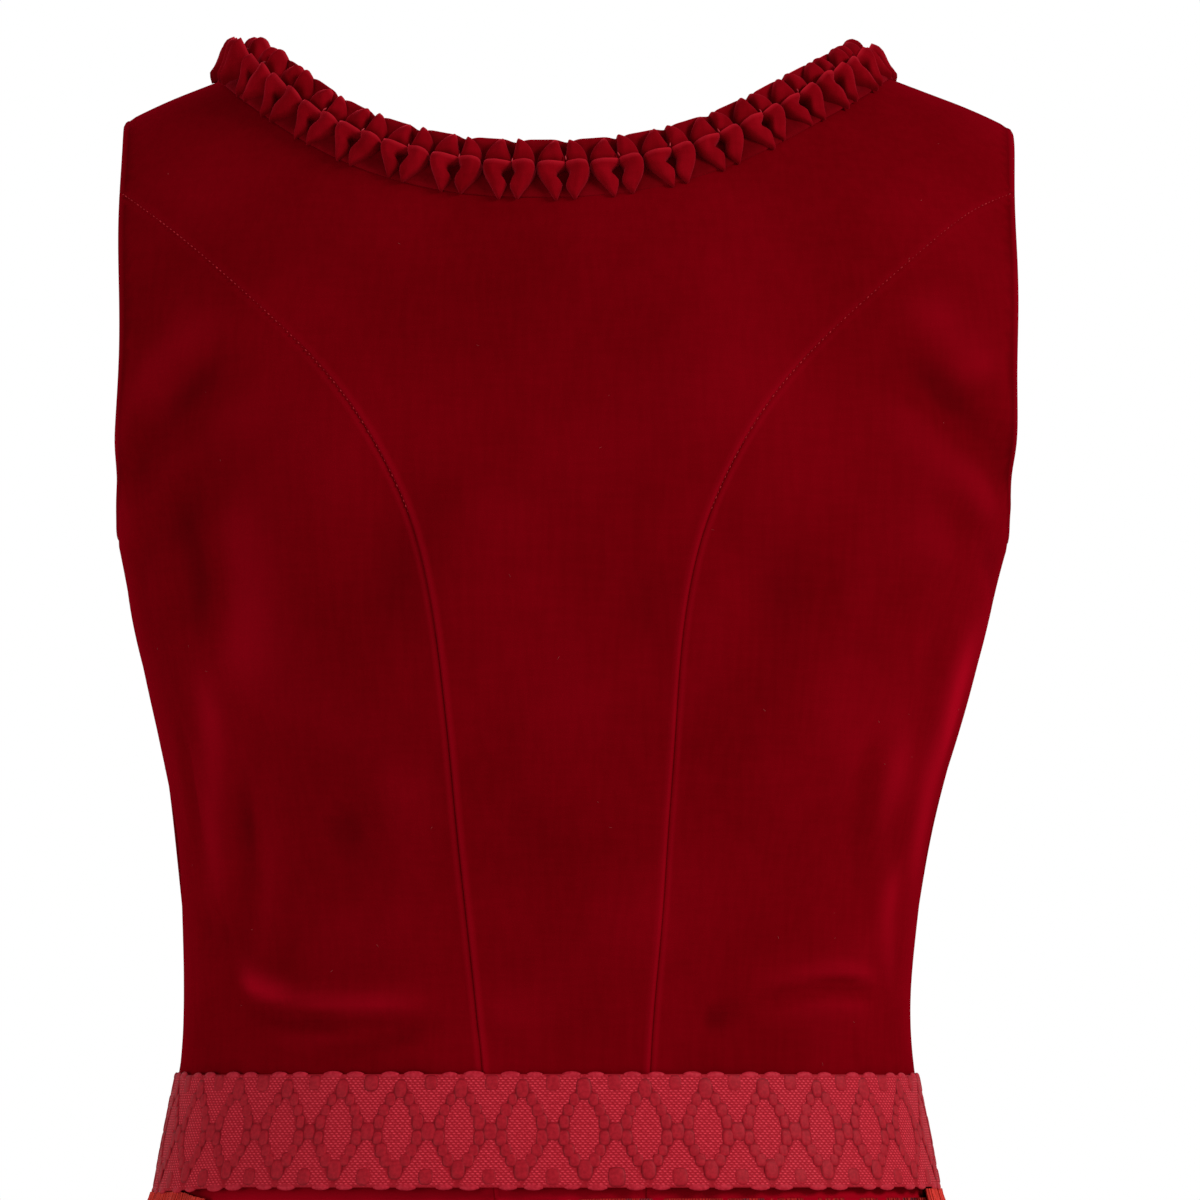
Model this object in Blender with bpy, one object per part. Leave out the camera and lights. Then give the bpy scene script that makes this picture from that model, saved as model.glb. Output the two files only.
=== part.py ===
"""Dirndl: a velvet bodice with a frog-mouth neck trim, a woven ribbon waistband, and a gathered skirt and apron.

Metres, +Z up. The wearer faces -Y and has the left side at +X. The origin lies midway between the two
shoulder lines, where the wearer carries the dress.

Every bodice piece is cut from one form, which stands for the filled-out torso. A place on the form has two
pattern coordinates. The turn runs round the body in radians, from 0 at the wearer's left side through pi / 2
at the centre back to pi at the right side. The rise runs up the back in metres, over the shoulder ridge and
down the front, so that the front lies beyond the ridge.
"""
import math
from collections import namedtuple

import bmesh
import bpy
import numpy as np
from mathutils.geometry import delaunay_2d_cdt

# Cloth walls and the gap left at every seam
SEAM_GAP = 0.0003
BODICE_WALL = 0.0016
BAND_WALL = 0.0018
SKIRT_WALL = 0.0011
APRON_WALL = 0.0010

# Heights down the dress
BAND_WIDTH = 0.040
BAND_TOP = -0.3452
BODICE_BOTTOM = -0.3892
SKIRT_LENGTH = 0.672
APRON_LENGTH = 0.620

# The filled-out torso, from below the waist up to the shoulder ridge
FormRow = namedtuple("FormRow", "height half_width back_depth front_depth squareness slope_share side_shift")
FORM = (
    FormRow(-0.396, 0.1376, 0.0905, 0.0925, 2.15, 0.00, 0.0048),
    FormRow(-0.385, 0.1358, 0.0893, 0.0912, 2.15, 0.00, 0.0048),
    FormRow(-0.365, 0.1330, 0.0878, 0.0902, 2.15, 0.00, 0.0047),
    FormRow(-0.345, 0.1302, 0.0870, 0.0900, 2.15, 0.00, 0.0046),
    FormRow(-0.318, 0.1283, 0.0880, 0.0920, 2.18, 0.00, 0.0044),
    FormRow(-0.289, 0.1300, 0.0920, 0.0990, 2.20, 0.00, 0.0037),
    FormRow(-0.261, 0.1335, 0.0975, 0.1080, 2.25, 0.00, 0.0025),
    FormRow(-0.232, 0.1393, 0.1025, 0.1170, 2.30, 0.00, 0.0009),
    FormRow(-0.204, 0.1460, 0.1055, 0.1230, 2.35, 0.00, 0.0002),
    FormRow(-0.176, 0.1530, 0.1065, 0.1230, 2.40, 0.05, -0.0004),
    FormRow(-0.148, 0.1592, 0.1058, 0.1170, 2.45, 0.15, -0.0016),
    FormRow(-0.120, 0.1690, 0.1030, 0.1060, 2.50, 0.32, -0.0025),
    FormRow(-0.090, 0.1800, 0.0970, 0.0910, 2.50, 0.55, -0.0028),
    FormRow(-0.057, 0.1860, 0.0840, 0.0740, 2.50, 0.80, -0.0028),
    FormRow(-0.028, 0.1880, 0.0620, 0.0545, 2.50, 0.94, -0.0028),
    FormRow(-0.012, 0.1880, 0.0415, 0.0370, 2.50, 0.98, -0.0028),
    FormRow(-0.003, 0.1880, 0.0205, 0.0185, 2.50, 1.00, -0.0028),
    FormRow(0.000, 0.1880, 0.0000, 0.0000, 2.50, 1.00, -0.0028),
)
MIRRORED_ROWS = 5
SHOULDER_SLOPE = 0.405
SHOULDER_TILT = 0.008
SHOULDER_LIFT = 0.0012
TIP_DROOP = 0.0022
TIP_FROM = 0.135
TIP_TO = 0.160
SLOPE_REFERENCE = 0.140
SLOPE_SOFTENING = 0.060

# The two bust cups that the front princess seams shape
CUP_RISE = 0.013
CUP_APART = 0.080
CUP_HEIGHT = -0.202
CUP_WIDTH = 0.040
CUP_LENGTH = 0.046

# Armholes: the distance of the edge from the dress's centre, and how far the front edge is scooped inwards
ARMHOLE_HALF = 0.1581
ARMHOLE_FRONT_SCOOP = 0.009
UNDERARM_BELOW = -0.200
UNDERARM_ABOVE = -0.110
SHOULDER_SEAM_BACK = 0.008

# The curved back princess seam, from the waist to the armhole, as half the distance between the pair
BackSeamRow = namedtuple("BackSeamRow", "height half_spacing")
BACK_SEAM = (
    BackSeamRow(-0.344, 0.0290),
    BackSeamRow(-0.301, 0.0328),
    BackSeamRow(-0.254, 0.0370),
    BackSeamRow(-0.214, 0.0404),
    BackSeamRow(-0.180, 0.0446),
    BackSeamRow(-0.154, 0.0510),
    BackSeamRow(-0.134, 0.0594),
    BackSeamRow(-0.112, 0.0724),
    BackSeamRow(-0.088, 0.0930),
    BackSeamRow(-0.070, 0.1120),
    BackSeamRow(-0.056, 0.1275),
    BackSeamRow(-0.042, 0.1445),
)
BACK_SEAM_END = -0.0335
BACK_SEAM_DRIFT = -0.0026
DRIFT_FROM = -0.180
DRIFT_TO = -0.344

# The front princess seam, from the waist over the cup to the armhole
FrontSeamRow = namedtuple("FrontSeamRow", "height half_spacing")
FRONT_SEAM = (
    FrontSeamRow(-0.340, 0.0520),
    FrontSeamRow(-0.290, 0.0610),
    FrontSeamRow(-0.245, 0.0720),
    FrontSeamRow(-0.205, 0.0800),
    FrontSeamRow(-0.165, 0.0870),
    FrontSeamRow(-0.130, 0.1030),
    FrontSeamRow(-0.108, 0.1240),
)
FRONT_SEAM_END = -0.094

# The middle line of the neck trim, from the centre back over the shoulder to the centre front
NeckRow = namedtuple("NeckRow", "half_spacing height on_back centre_shift")
NECK = (
    NeckRow(0.0000, -0.0290, True, 0.0061),
    NeckRow(0.0270, -0.0275, True, 0.0061),
    NeckRow(0.0450, -0.0238, True, 0.0060),
    NeckRow(0.0625, -0.0176, True, 0.0058),
    NeckRow(0.0775, -0.0098, True, 0.0052),
    NeckRow(0.0900, -0.0018, True, 0.0042),
    NeckRow(0.1015, 0.0062, True, 0.0030),
    NeckRow(0.1075, -0.0080, False, 0.0020),
    NeckRow(0.1050, -0.0380, False, 0.0012),
    NeckRow(0.0980, -0.0680, False, 0.0006),
    NeckRow(0.0850, -0.0980, False, 0.0002),
    NeckRow(0.0630, -0.1240, False, 0.0000),
    NeckRow(0.0330, -0.1400, False, 0.0000),
    NeckRow(0.0000, -0.1450, False, 0.0000),
)
NECK_EDGE_ABOVE_TRIM = 0.0072
NECK_LEAD = 3

# The neck trim: a strip pleated into motifs of four petals round a knot
TRIM_PITCH = 0.0185
TRIM_HALF_HEIGHT = 0.0100
TRIM_WALL = 0.0014
TRIM_PETAL_RISE = 0.0076
TRIM_KNOT_RISE = 0.0042
TRIM_NOTCH = 0.0030
TRIM_TIP = 0.0012
FIRST_KNOT = 0.5
SMALL_STEP = 0.001
TrimColumn = namedtuple("TrimColumn", "across petal knot notch")
TRIM_COLUMNS = (
    TrimColumn(0.00, 0.15, 1.0, 1.0),
    TrimColumn(0.15, 0.90, 0.3, 0.3),
    TrimColumn(0.34, 0.95, 0.0, 0.0),
    TrimColumn(0.50, 0.20, 0.0, 0.6),
    TrimColumn(0.66, 0.95, 0.0, 0.0),
    TrimColumn(0.85, 0.90, 0.3, 0.3),
)
TrimRow = namedtuple("TrimRow", "up petal knot edge")
TRIM_ROWS = (
    TrimRow(-1.14, 0.42, 0.0, 1.0),
    TrimRow(-0.68, 1.00, 0.0, 0.0),
    TrimRow(-0.20, 0.55, 0.9, 0.0),
    TrimRow(0.20, 0.55, 0.9, 0.0),
    TrimRow(0.56, 1.00, 0.0, 0.0),
    TrimRow(0.92, 0.42, 0.0, 1.0),
)

# The waistband ribbon: it stands off over the sewn-in gathers below and overlaps itself at the front
BAND_STAND_OFF_TOP = 0.0003
BAND_STAND_OFF_BOTTOM = 0.0026
BAND_START = math.radians(-62.0)
BAND_OVERLAP = 0.034
BAND_OVERLAP_RAMP = 0.022
BAND_RADIUS = 0.110
BAND_COLUMNS = 64
BAND_ROWS = 3

# The skirt hangs from the bodice's lower edge
SkirtRow = namedtuple("SkirtRow", "drop half_width back_depth front_depth skirt_fold apron_fold apron_clear")
SKIRT = (
    SkirtRow(-0.010, 0.1340, 0.0880, 0.0900, 0.0010, 0.0009, 0.0040),
    SkirtRow(0.000, 0.1360, 0.0893, 0.0912, 0.0010, 0.0009, 0.0046),
    SkirtRow(0.014, 0.1420, 0.0945, 0.0962, 0.0021, 0.0019, 0.0066),
    SkirtRow(0.045, 0.1540, 0.1050, 0.1050, 0.0036, 0.0030, 0.0094),
    SkirtRow(0.100, 0.1710, 0.1190, 0.1170, 0.0050, 0.0040, 0.0120),
    SkirtRow(0.190, 0.1930, 0.1380, 0.1330, 0.0064, 0.0050, 0.0146),
    SkirtRow(0.310, 0.2180, 0.1610, 0.1540, 0.0076, 0.0058, 0.0168),
    SkirtRow(0.440, 0.2430, 0.1850, 0.1770, 0.0086, 0.0064, 0.0184),
    SkirtRow(0.570, 0.2670, 0.2090, 0.2000, 0.0094, 0.0068, 0.0196),
    SkirtRow(0.700, 0.2900, 0.2320, 0.2220, 0.0100, 0.0070, 0.0204),
)
SKIRT_SQUARENESS = 2.1
SKIRT_SHIFT = 0.0048
SKIRT_FOLDS = 44
APRON_FOLDS = 26
FOLD_COLUMNS = 6
FOLD_EVENING = 0.09
FOLD_CREST = 0.18
Wave = namedtuple("Wave", "per_round share start")
FOLD_WANDER = (
    Wave(5.0, 0.180, 0.7),
    Wave(11.0, 0.108, 2.0),
)
FOLDS_PER_SWELL = 5.0
FOLD_UNEVEN = 0.14
SLOW_SWELL = Wave(3.0, 0.5, 0.4)
QUICK_SWELL = Wave(1.0, 0.5, 1.1)
FOLD_SEARCHES = 60
SEARCH_SHARE = 0.6
SKIRT_LEVELS = (0.0, 0.035, 0.12, 0.36, 1.0)
APRON_LEFT = math.radians(33.0)
APRON_RIGHT = math.radians(-197.0)
APRON_RING_FOLDS = APRON_FOLDS * 2.0 * math.pi / (APRON_LEFT - APRON_RIGHT)

# Mesh spacing of the cut panels, and the scale that turns radians of turn into metres of pattern
PANEL_STEP = 0.0225
EDGE_STEP = 0.0160
TURN_TO_METRES = 0.135
EDGE_CLEARANCE = 0.52
DENSE = 400
HALVINGS = 46
TURN_STEP = 2e-4
RISE_STEP = 3e-5
FOLD_STEP = 3e-4
SHARPEST_CORNER = 0.35
SMOOTH_BELOW = math.radians(50.0)
MERGE_BELOW = 1e-7

# Base colours as linear values
VELVET = (0.135, 0.0012, 0.0025, 1.0)
TRIM_VELVET = (0.150, 0.0014, 0.0028, 1.0)
RIBBON = (0.330, 0.0105, 0.0200, 1.0)
SKIRT_CLOTH = (0.210, 0.0150, 0.0150, 1.0)
APRON_SILK = (0.400, 0.0240, 0.0200, 1.0)


class Spline:
    """A smooth curve through rows of numbers at rising stations, with a continuous second derivative."""

    def __init__(self, stations, rows):
        self.stations = np.asarray(stations, float)
        self.rows = np.asarray(rows, float)
        steps = np.diff(self.stations)
        count = len(self.stations)
        system = np.eye(count)
        right = np.zeros((count, self.rows.shape[1]))
        for i in range(1, count - 1):
            system[i, i - 1] = steps[i - 1]
            system[i, i] = 2.0 * (steps[i - 1] + steps[i])
            system[i, i + 1] = steps[i]
            rise_after = (self.rows[i + 1] - self.rows[i]) / steps[i]
            rise_before = (self.rows[i] - self.rows[i - 1]) / steps[i - 1]
            right[i] = 6.0 * (rise_after - rise_before)
        self.bends = np.linalg.solve(system, right)

    def at(self, station):
        """The row of numbers at each station, with the last axis running over the columns."""
        station = np.asarray(station, float)
        span = np.clip(np.searchsorted(self.stations, station) - 1, 0, len(self.stations) - 2)
        low = self.stations[span]
        high = self.stations[span + 1]
        width = (high - low)[..., None]
        after = ((station - low)[..., None]) / width
        before = 1.0 - after
        curve = (before ** 3 - before) * self.bends[span] + (after ** 3 - after) * self.bends[span + 1]
        return before * self.rows[span] + after * self.rows[span + 1] + curve * width ** 2 / 6.0


def chord_stations(points):
    """Running distances along a list of points."""
    steps = np.linalg.norm(np.diff(np.asarray(points, float), axis=0), axis=1)
    return np.concatenate(([0.0], np.cumsum(steps)))


def soft_length(x):
    """The length |x| with a rounded turn at zero, for the slope of the shoulders."""
    return np.sqrt(np.asarray(x) ** 2 + SLOPE_SOFTENING ** 2)


def form_spline():
    """The torso's sections by rise, mirrored over the ridge so that the arch closes smoothly."""
    rows = [list(row) for row in FORM]
    stations = chord_stations([(row.height, row.back_depth) for row in FORM])
    ridge = stations[-1]
    for i in range(1, MIRRORED_ROWS + 1):
        row = FORM[-1 - i]
        rows.append(list(row._replace(back_depth=-row.back_depth, front_depth=-row.front_depth)))
    mirrored_stations = [2.0 * ridge - stations[-1 - i] for i in range(1, MIRRORED_ROWS + 1)]
    return Spline(list(stations) + mirrored_stations, rows), ridge


SECTIONS, RIDGE = form_spline()


def form_row(rise):
    """The torso's section at a rise, or at each of an array of rises."""
    return FormRow(*np.moveaxis(SECTIONS.at(rise), -1, 0))


def form_point(turn, rise):
    """The place on the torso for pattern coordinates, which may be arrays."""
    turn = np.asarray(turn, float)
    rise = np.asarray(rise, float)
    past = rise > RIDGE
    turn = np.where(past, -turn, turn)
    rise = np.where(past, 2.0 * RIDGE - rise, rise)
    row = form_row(rise)
    across = np.cos(turn)
    along = np.sin(turn)
    power = row.squareness
    reach = (np.abs(across) ** power + np.abs(along) ** power) ** (-1.0 / power)
    x = row.half_width * reach * across
    y = np.where(along >= 0.0, row.back_depth, row.front_depth) * reach * along
    droop = TIP_DROOP * np.maximum((np.abs(x) - TIP_FROM) / (TIP_TO - TIP_FROM), 0.0) ** 2
    slope = SHOULDER_SLOPE * (soft_length(x) - soft_length(SLOPE_REFERENCE))
    z = row.height + row.slope_share * (SHOULDER_LIFT + SHOULDER_TILT * x - slope - droop)
    cup = np.exp(-(((np.abs(x) - CUP_APART) / CUP_WIDTH) ** 2 + ((z - CUP_HEIGHT) / CUP_LENGTH) ** 2) / 2.0)
    y = y - CUP_RISE * cup * np.minimum(along, 0.0) ** 2
    return np.stack([x + row.side_shift, y, z], axis=-1)


def surface_frame(place, turn, rise, turn_step=TURN_STEP, rise_step=RISE_STEP):
    """Point, outward unit normal and the two derivatives of a surface of (turn, rise)."""
    point = place(turn, rise)
    by_turn = (place(turn + turn_step, rise) - place(turn - turn_step, rise)) / (2.0 * turn_step)
    by_rise = (place(turn, rise + rise_step) - place(turn, rise - rise_step)) / (2.0 * rise_step)
    normal = np.cross(by_turn, by_rise)
    normal = normal / np.linalg.norm(normal, axis=-1, keepdims=True)
    return point, normal, by_turn, by_rise


def halved(is_low, low, high):
    """The value between two bounds at which a test turns from true to false."""
    for _ in range(HALVINGS):
        middle = (low + high) / 2.0
        if is_low(middle):
            low = middle
        else:
            high = middle
    return (low + high) / 2.0


def turn_for(x, rise):
    """The turn at which the section of that rise has that x, on the back or past the ridge on the front."""
    row = form_row(min(rise, 2.0 * RIDGE - rise))
    across = (x - row.side_shift) / row.half_width
    across = max(-1.0, min(1.0, across))
    along = (1.0 - abs(across) ** row.squareness) ** (1.0 / row.squareness)
    return math.atan2(along, across)


def pattern_place(x, height, on_back=True):
    """Pattern coordinates of the form's point with that x and height, on the back or the front."""
    rise = halved(lambda trial: form_point(turn_for(x, trial), trial)[2] < height, 0.0, RIDGE)
    turn = turn_for(x, rise)
    return (turn, rise) if on_back else (turn, 2.0 * RIDGE - rise)


def rise_at_height(height):
    """The rise at which the middle of the back has that height."""
    return pattern_place(form_row(0.0).side_shift, height)[1]


def smooth_path(places, count=DENSE):
    """A dense smooth pattern curve through a few pattern places."""
    stations = chord_stations([(turn * TURN_TO_METRES, rise) for turn, rise in places])
    return Spline(stations, places).at(np.linspace(0.0, stations[-1], count))


def evenly(path, step=EDGE_STEP, count=None):
    """A pattern curve resampled at even real distances."""
    stations = chord_stations(form_point(path[:, 0], path[:, 1]))
    if count is None:
        count = max(1, round(stations[-1] / step))
    wanted = np.linspace(0.0, stations[-1], count + 1)
    return np.stack([np.interp(wanted, stations, path[:, k]) for k in (0, 1)], axis=-1)


def stepped_across(path, distance):
    """A pattern curve moved sideways over the surface, to the left of its own direction."""
    tangent = np.gradient(path, axis=0)
    _, normal, by_turn, by_rise = surface_frame(form_point, path[:, 0], path[:, 1])
    along = by_turn * tangent[:, :1] + by_rise * tangent[:, 1:]
    along = along / np.linalg.norm(along, axis=1, keepdims=True)
    side = np.cross(normal, along)
    a = np.einsum("ij,ij->i", by_turn, by_turn)
    b = np.einsum("ij,ij->i", by_turn, by_rise)
    c = np.einsum("ij,ij->i", by_rise, by_rise)
    p = np.einsum("ij,ij->i", side, by_turn)
    q = np.einsum("ij,ij->i", side, by_rise)
    scale = a * c - b * b
    shift = np.stack([(c * p - b * q) / scale, (a * q - b * p) / scale], axis=-1)
    return path + shift * distance


# The seam lines

BOTTOM_RISE = rise_at_height(BODICE_BOTTOM)
FRONT_BOTTOM_RISE = 2.0 * RIDGE - BOTTOM_RISE


def seam_drift(height):
    """How far the pair of back seams leans sideways at a height."""
    share = (DRIFT_FROM - height) / (DRIFT_FROM - DRIFT_TO)
    return BACK_SEAM_DRIFT * max(0.0, min(1.0, share))


def armhole_x(side, rise):
    """Where the armhole's edge lies at a rise, on the back below the ridge or on the front past it."""
    on_front = rise > RIDGE
    level = 2.0 * RIDGE - rise if on_front else rise
    share = max(0.0, min(1.0, (level - UNDERARM_RISE) / (RIDGE - UNDERARM_RISE)))
    scoop = ARMHOLE_FRONT_SCOOP * math.sin(math.pi * share) if on_front else 0.0
    return side * (ARMHOLE_HALF - scoop) + form_row(level).side_shift


def underarm_rise():
    """The rise of the armhole's lowest point, where the torso is as wide as the armholes are apart."""
    low = rise_at_height(UNDERARM_BELOW)
    high = rise_at_height(UNDERARM_ABOVE)
    return halved(lambda trial: form_row(trial).half_width < ARMHOLE_HALF, low, high)


UNDERARM_RISE = underarm_rise()


def armhole_path(side, start, end):
    """The armhole's edge between two rises, dense near the underarm, where it turns."""
    path = []
    for step in np.linspace(start, end, DENSE):
        turn = turn_for(armhole_x(side, step), step)
        path.append((turn, step))
    return np.array(path)


def armhole_from_underarm(side, end):
    """The armhole's edge from the underarm to a rise on the back or on the front."""
    start = 2.0 * RIDGE - UNDERARM_RISE if end > RIDGE else UNDERARM_RISE
    path = []
    for share in np.linspace(0.0, 1.0, DENSE):
        rise = start + (end - start) * share ** 2
        path.append((turn_for(armhole_x(side, rise), rise), rise))
    path[0] = (0.0 if side > 0 else math.pi, start)
    return np.array(path)


def armhole_place(side, height, on_back):
    """The pattern place on the armhole's edge at a height."""
    def place_at(level):
        rise = level if on_back else 2.0 * RIDGE - level
        return turn_for(armhole_x(side, rise), rise), rise

    return place_at(halved(lambda level: form_point(*place_at(level))[2] < height, UNDERARM_RISE, RIDGE))


def back_seam(side):
    """The back princess seam from the waist's lower edge to the armhole."""
    places = []
    for row in BACK_SEAM:
        x = side * row.half_spacing + seam_drift(row.height)
        places.append(pattern_place(x, row.height))
    first = np.array(places[0])
    second = np.array(places[1])
    reach = (first[1] - BOTTOM_RISE) / (second[1] - first[1])
    places.insert(0, tuple(first - (second - first) * reach))
    places.append(armhole_place(side, BACK_SEAM_END, True))
    return smooth_path(places)


def front_seam(side):
    """The front princess seam from the waist's lower edge to the armhole."""
    places = []
    for row in FRONT_SEAM:
        x = side * row.half_spacing + form_row(rise_at_height(row.height)).side_shift
        places.append(pattern_place(x, row.height, False))
    first = np.array(places[0])
    second = np.array(places[1])
    reach = (FRONT_BOTTOM_RISE - first[1]) / (first[1] - second[1])
    places.insert(0, tuple(first + (first - second) * reach))
    places.append(armhole_place(side, FRONT_SEAM_END, False))
    return smooth_path(places)


def neck_loop():
    """The closed middle line of the neck trim, from the centre back round by the left side."""
    left = [pattern_place(row.centre_shift + row.half_spacing, row.height, row.on_back) for row in NECK]
    right = [pattern_place(row.centre_shift - row.half_spacing, row.height, row.on_back) for row in NECK]
    ring = left + right[-2:0:-1]
    places = ring[-NECK_LEAD:] + ring + ring[:NECK_LEAD + 1]
    stations = chord_stations([(turn * TURN_TO_METRES, rise) for turn, rise in places])
    spline = Spline(stations, places)
    return spline.at(np.linspace(stations[NECK_LEAD], stations[NECK_LEAD + len(ring)], 4 * DENSE + 1))


NECK_LOOP = neck_loop()
NECK_EDGE = stepped_across(NECK_LOOP, -NECK_EDGE_ABOVE_TRIM)
SHOULDER_RISE = RIDGE - SHOULDER_SEAM_BACK


def neck_stretch(first, last):
    """The neckline's edge between two shares of the loop, which starts at the centre back."""
    count = len(NECK_EDGE) - 1
    picks = np.arange(round(first * count), round(last * count) + 1) % count
    return NECK_EDGE[picks]


def neck_at_shoulder(side):
    """The share of the neck loop at which it crosses the shoulder seam of one side."""
    count = len(NECK_EDGE) - 1
    half = count // 2
    picks = range(0, half) if side > 0 else range(count, half, -1)
    for pick in picks:
        if NECK_EDGE[pick][1] >= SHOULDER_RISE:
            return pick / count
    return 0.5


def straight(first, last, count=DENSE):
    """A straight pattern line."""
    share = np.linspace(0.0, 1.0, count)[:, None]
    return np.asarray(first) * (1.0 - share) + np.asarray(last) * share


def bodice_lines():
    """Every seam and edge line of the bodice, cut once so that neighbours share its points."""
    lines = {}
    left_share = neck_at_shoulder(1)
    right_share = neck_at_shoulder(-1)
    lines["neck_back"] = evenly(np.concatenate([
        neck_stretch(right_share, 1.0)[:-1], neck_stretch(0.0, left_share)]))
    front_edge = neck_stretch(left_share, right_share)
    middle = int(np.argmin(np.abs(front_edge[:, 0] - math.pi / 2.0)))
    lines["neck_front_left"] = evenly(front_edge[:middle + 1])
    lines["neck_front_right"] = evenly(front_edge[middle:][::-1])
    for side, name in ((1, "left"), (-1, "right")):
        flank = 0.0 if side > 0 else math.pi
        back = back_seam(side)
        front = front_seam(side)
        shoulder_armhole = turn_for(armhole_x(side, SHOULDER_RISE), SHOULDER_RISE), SHOULDER_RISE
        neck_corner = lines["neck_back"][-1 if side > 0 else 0]
        lines["back_seam_" + name] = evenly(back)
        lines["front_seam_" + name] = evenly(front)
        lines["armhole_back_low_" + name] = evenly(armhole_from_underarm(side, back[-1][1]))
        lines["armhole_back_high_" + name] = evenly(armhole_path(side, back[-1][1], SHOULDER_RISE))
        lines["armhole_front_low_" + name] = evenly(armhole_from_underarm(side, front[-1][1]))
        lines["armhole_front_high_" + name] = evenly(armhole_path(side, front[-1][1], SHOULDER_RISE))
        lines["shoulder_" + name] = evenly(straight(neck_corner, shoulder_armhole))
        lines["side_back_" + name] = evenly(straight((flank, BOTTOM_RISE), (flank, UNDERARM_RISE)))
        lines["side_front_" + name] = evenly(straight(
            (flank, FRONT_BOTTOM_RISE), (flank, 2.0 * RIDGE - UNDERARM_RISE)))
        lines["waist_side_back_" + name] = evenly(straight((flank, BOTTOM_RISE), back[0]))
        lines["waist_side_front_" + name] = evenly(straight((flank, FRONT_BOTTOM_RISE), front[0]))
        centre = (math.pi / 2.0, FRONT_BOTTOM_RISE)
        lines["waist_centre_front_" + name] = evenly(straight(front[0], centre))
        lines["centre_front_" + name] = evenly(straight(centre, lines["neck_front_" + name][-1]))
    lines["waist_back"] = evenly(straight(lines["back_seam_left"][0], lines["back_seam_right"][0]))
    return lines


def closed_loop(lines, *steps):
    """The outline of a panel from named lines, where a minus sign takes a line backwards."""
    outline = []
    for step in steps:
        line = lines[step.lstrip("-")]
        if step.startswith("-"):
            line = line[::-1]
        outline.extend(tuple(place) for place in line[:-1])
    outline = np.array(outline)
    turned = np.roll(outline, -1, axis=0)
    area = np.sum(outline[:, 0] * turned[:, 1] - turned[:, 0] * outline[:, 1])
    return outline if area > 0.0 else outline[::-1]


def panel_outlines(lines):
    """The seven panels by name."""
    panels = {
        "bodice_back_centre": closed_loop(
            lines, "waist_back", "back_seam_right", "armhole_back_high_right", "-shoulder_right",
            "neck_back", "shoulder_left", "-armhole_back_high_left", "-back_seam_left"),
    }
    for name in ("left", "right"):
        panels["bodice_back_side_" + name] = closed_loop(
            lines, "waist_side_back_" + name, "back_seam_" + name,
            "-armhole_back_low_" + name, "-side_back_" + name)
        panels["bodice_front_side_" + name] = closed_loop(
            lines, "waist_side_front_" + name, "front_seam_" + name,
            "-armhole_front_low_" + name, "-side_front_" + name)
        panels["bodice_front_centre_" + name] = closed_loop(
            lines, "waist_centre_front_" + name, "centre_front_" + name, "-neck_front_" + name,
            "shoulder_" + name, "-armhole_front_high_" + name, "-front_seam_" + name)
    return panels


def flat_places(places):
    """Pattern places in metres on both axes."""
    return np.stack([places[:, 0] * TURN_TO_METRES, places[:, 1]], axis=-1)


def inside_places(outline, step):
    """Pattern places on a staggered grid inside an outline, clear of its edge."""
    flat = flat_places(outline)
    low = flat.min(axis=0)
    high = flat.max(axis=0)
    ends = np.roll(flat, -1, axis=0)
    spans = ends - flat
    row_step = step * math.sqrt(3.0) / 2.0
    kept = []
    for row, v in enumerate(np.arange(low[1] + row_step / 2.0, high[1], row_step)):
        offset = (row % 2) * step / 2.0
        for u in np.arange(low[0] + step / 2.0 - offset, high[0] + step, step):
            point = np.array([u, v])
            along = np.clip(np.einsum("ij,ij->i", point - flat, spans) / np.sum(spans ** 2, axis=1), 0.0, 1.0)
            nearest = np.linalg.norm(flat + spans * along[:, None] - point, axis=1).min()
            if nearest < step * EDGE_CLEARANCE:
                continue
            crossing = (flat[:, 1] > v) != (ends[:, 1] > v)
            with np.errstate(divide="ignore", invalid="ignore"):
                at_u = flat[:, 0] + (v - flat[:, 1]) * spans[:, 0] / spans[:, 1]
            if np.count_nonzero(crossing & (at_u > u)) % 2 == 1:
                kept.append((u / TURN_TO_METRES, v))
    return np.array(kept).reshape(-1, 2)


def pull_in_edge(points, normals, distance):
    """Edge points of a panel moved inwards over the surface, square to both of their edges."""
    after = np.roll(points, -1, axis=0) - points
    after = after / np.linalg.norm(after, axis=1, keepdims=True)
    before = np.roll(after, 1, axis=0)
    inward_after = np.cross(normals, after)
    inward_before = np.cross(normals, before)
    bisector = inward_after + inward_before
    scale = 1.0 + np.einsum("ij,ij->i", inward_after, inward_before)
    return points + bisector * (distance / np.maximum(scale, SHARPEST_CORNER))[:, None]


def close_wall(outer, inner, faces, rim):
    """A closed wall from matching outer and inner points, the outer faces and the loops of its rim."""
    count = len(outer)
    corners = [tuple(point) for point in np.concatenate([outer, inner])]
    walls = [tuple(face) for face in faces]
    walls += [tuple(corner + count for corner in reversed(face)) for face in faces]
    for loop in rim:
        for start, end in zip(loop, loop[1:] + loop[:1]):
            walls.append((end, start, start + count, end + count))
    return corners, walls


def add_piece(name, corners, faces, material):
    """A named object from corners and faces, with its faces turned outwards and its material."""
    mesh = bpy.data.meshes.new(name)
    mesh.from_pydata(corners, [], faces)
    mesh.validate()
    shape = bmesh.new()
    shape.from_mesh(mesh)
    bmesh.ops.triangulate(shape, faces=shape.faces[:])
    bmesh.ops.recalc_face_normals(shape, faces=shape.faces[:])
    if shape.calc_volume(signed=True) < 0.0:
        bmesh.ops.reverse_faces(shape, faces=shape.faces[:])
    shape.to_mesh(mesh)
    shape.free()
    mesh.materials.append(material)
    mesh.shade_smooth()
    mesh.set_sharp_from_angle(angle=SMOOTH_BELOW)
    piece = bpy.data.objects.new(name, mesh)
    bpy.context.scene.collection.objects.link(piece)
    return piece


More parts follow.
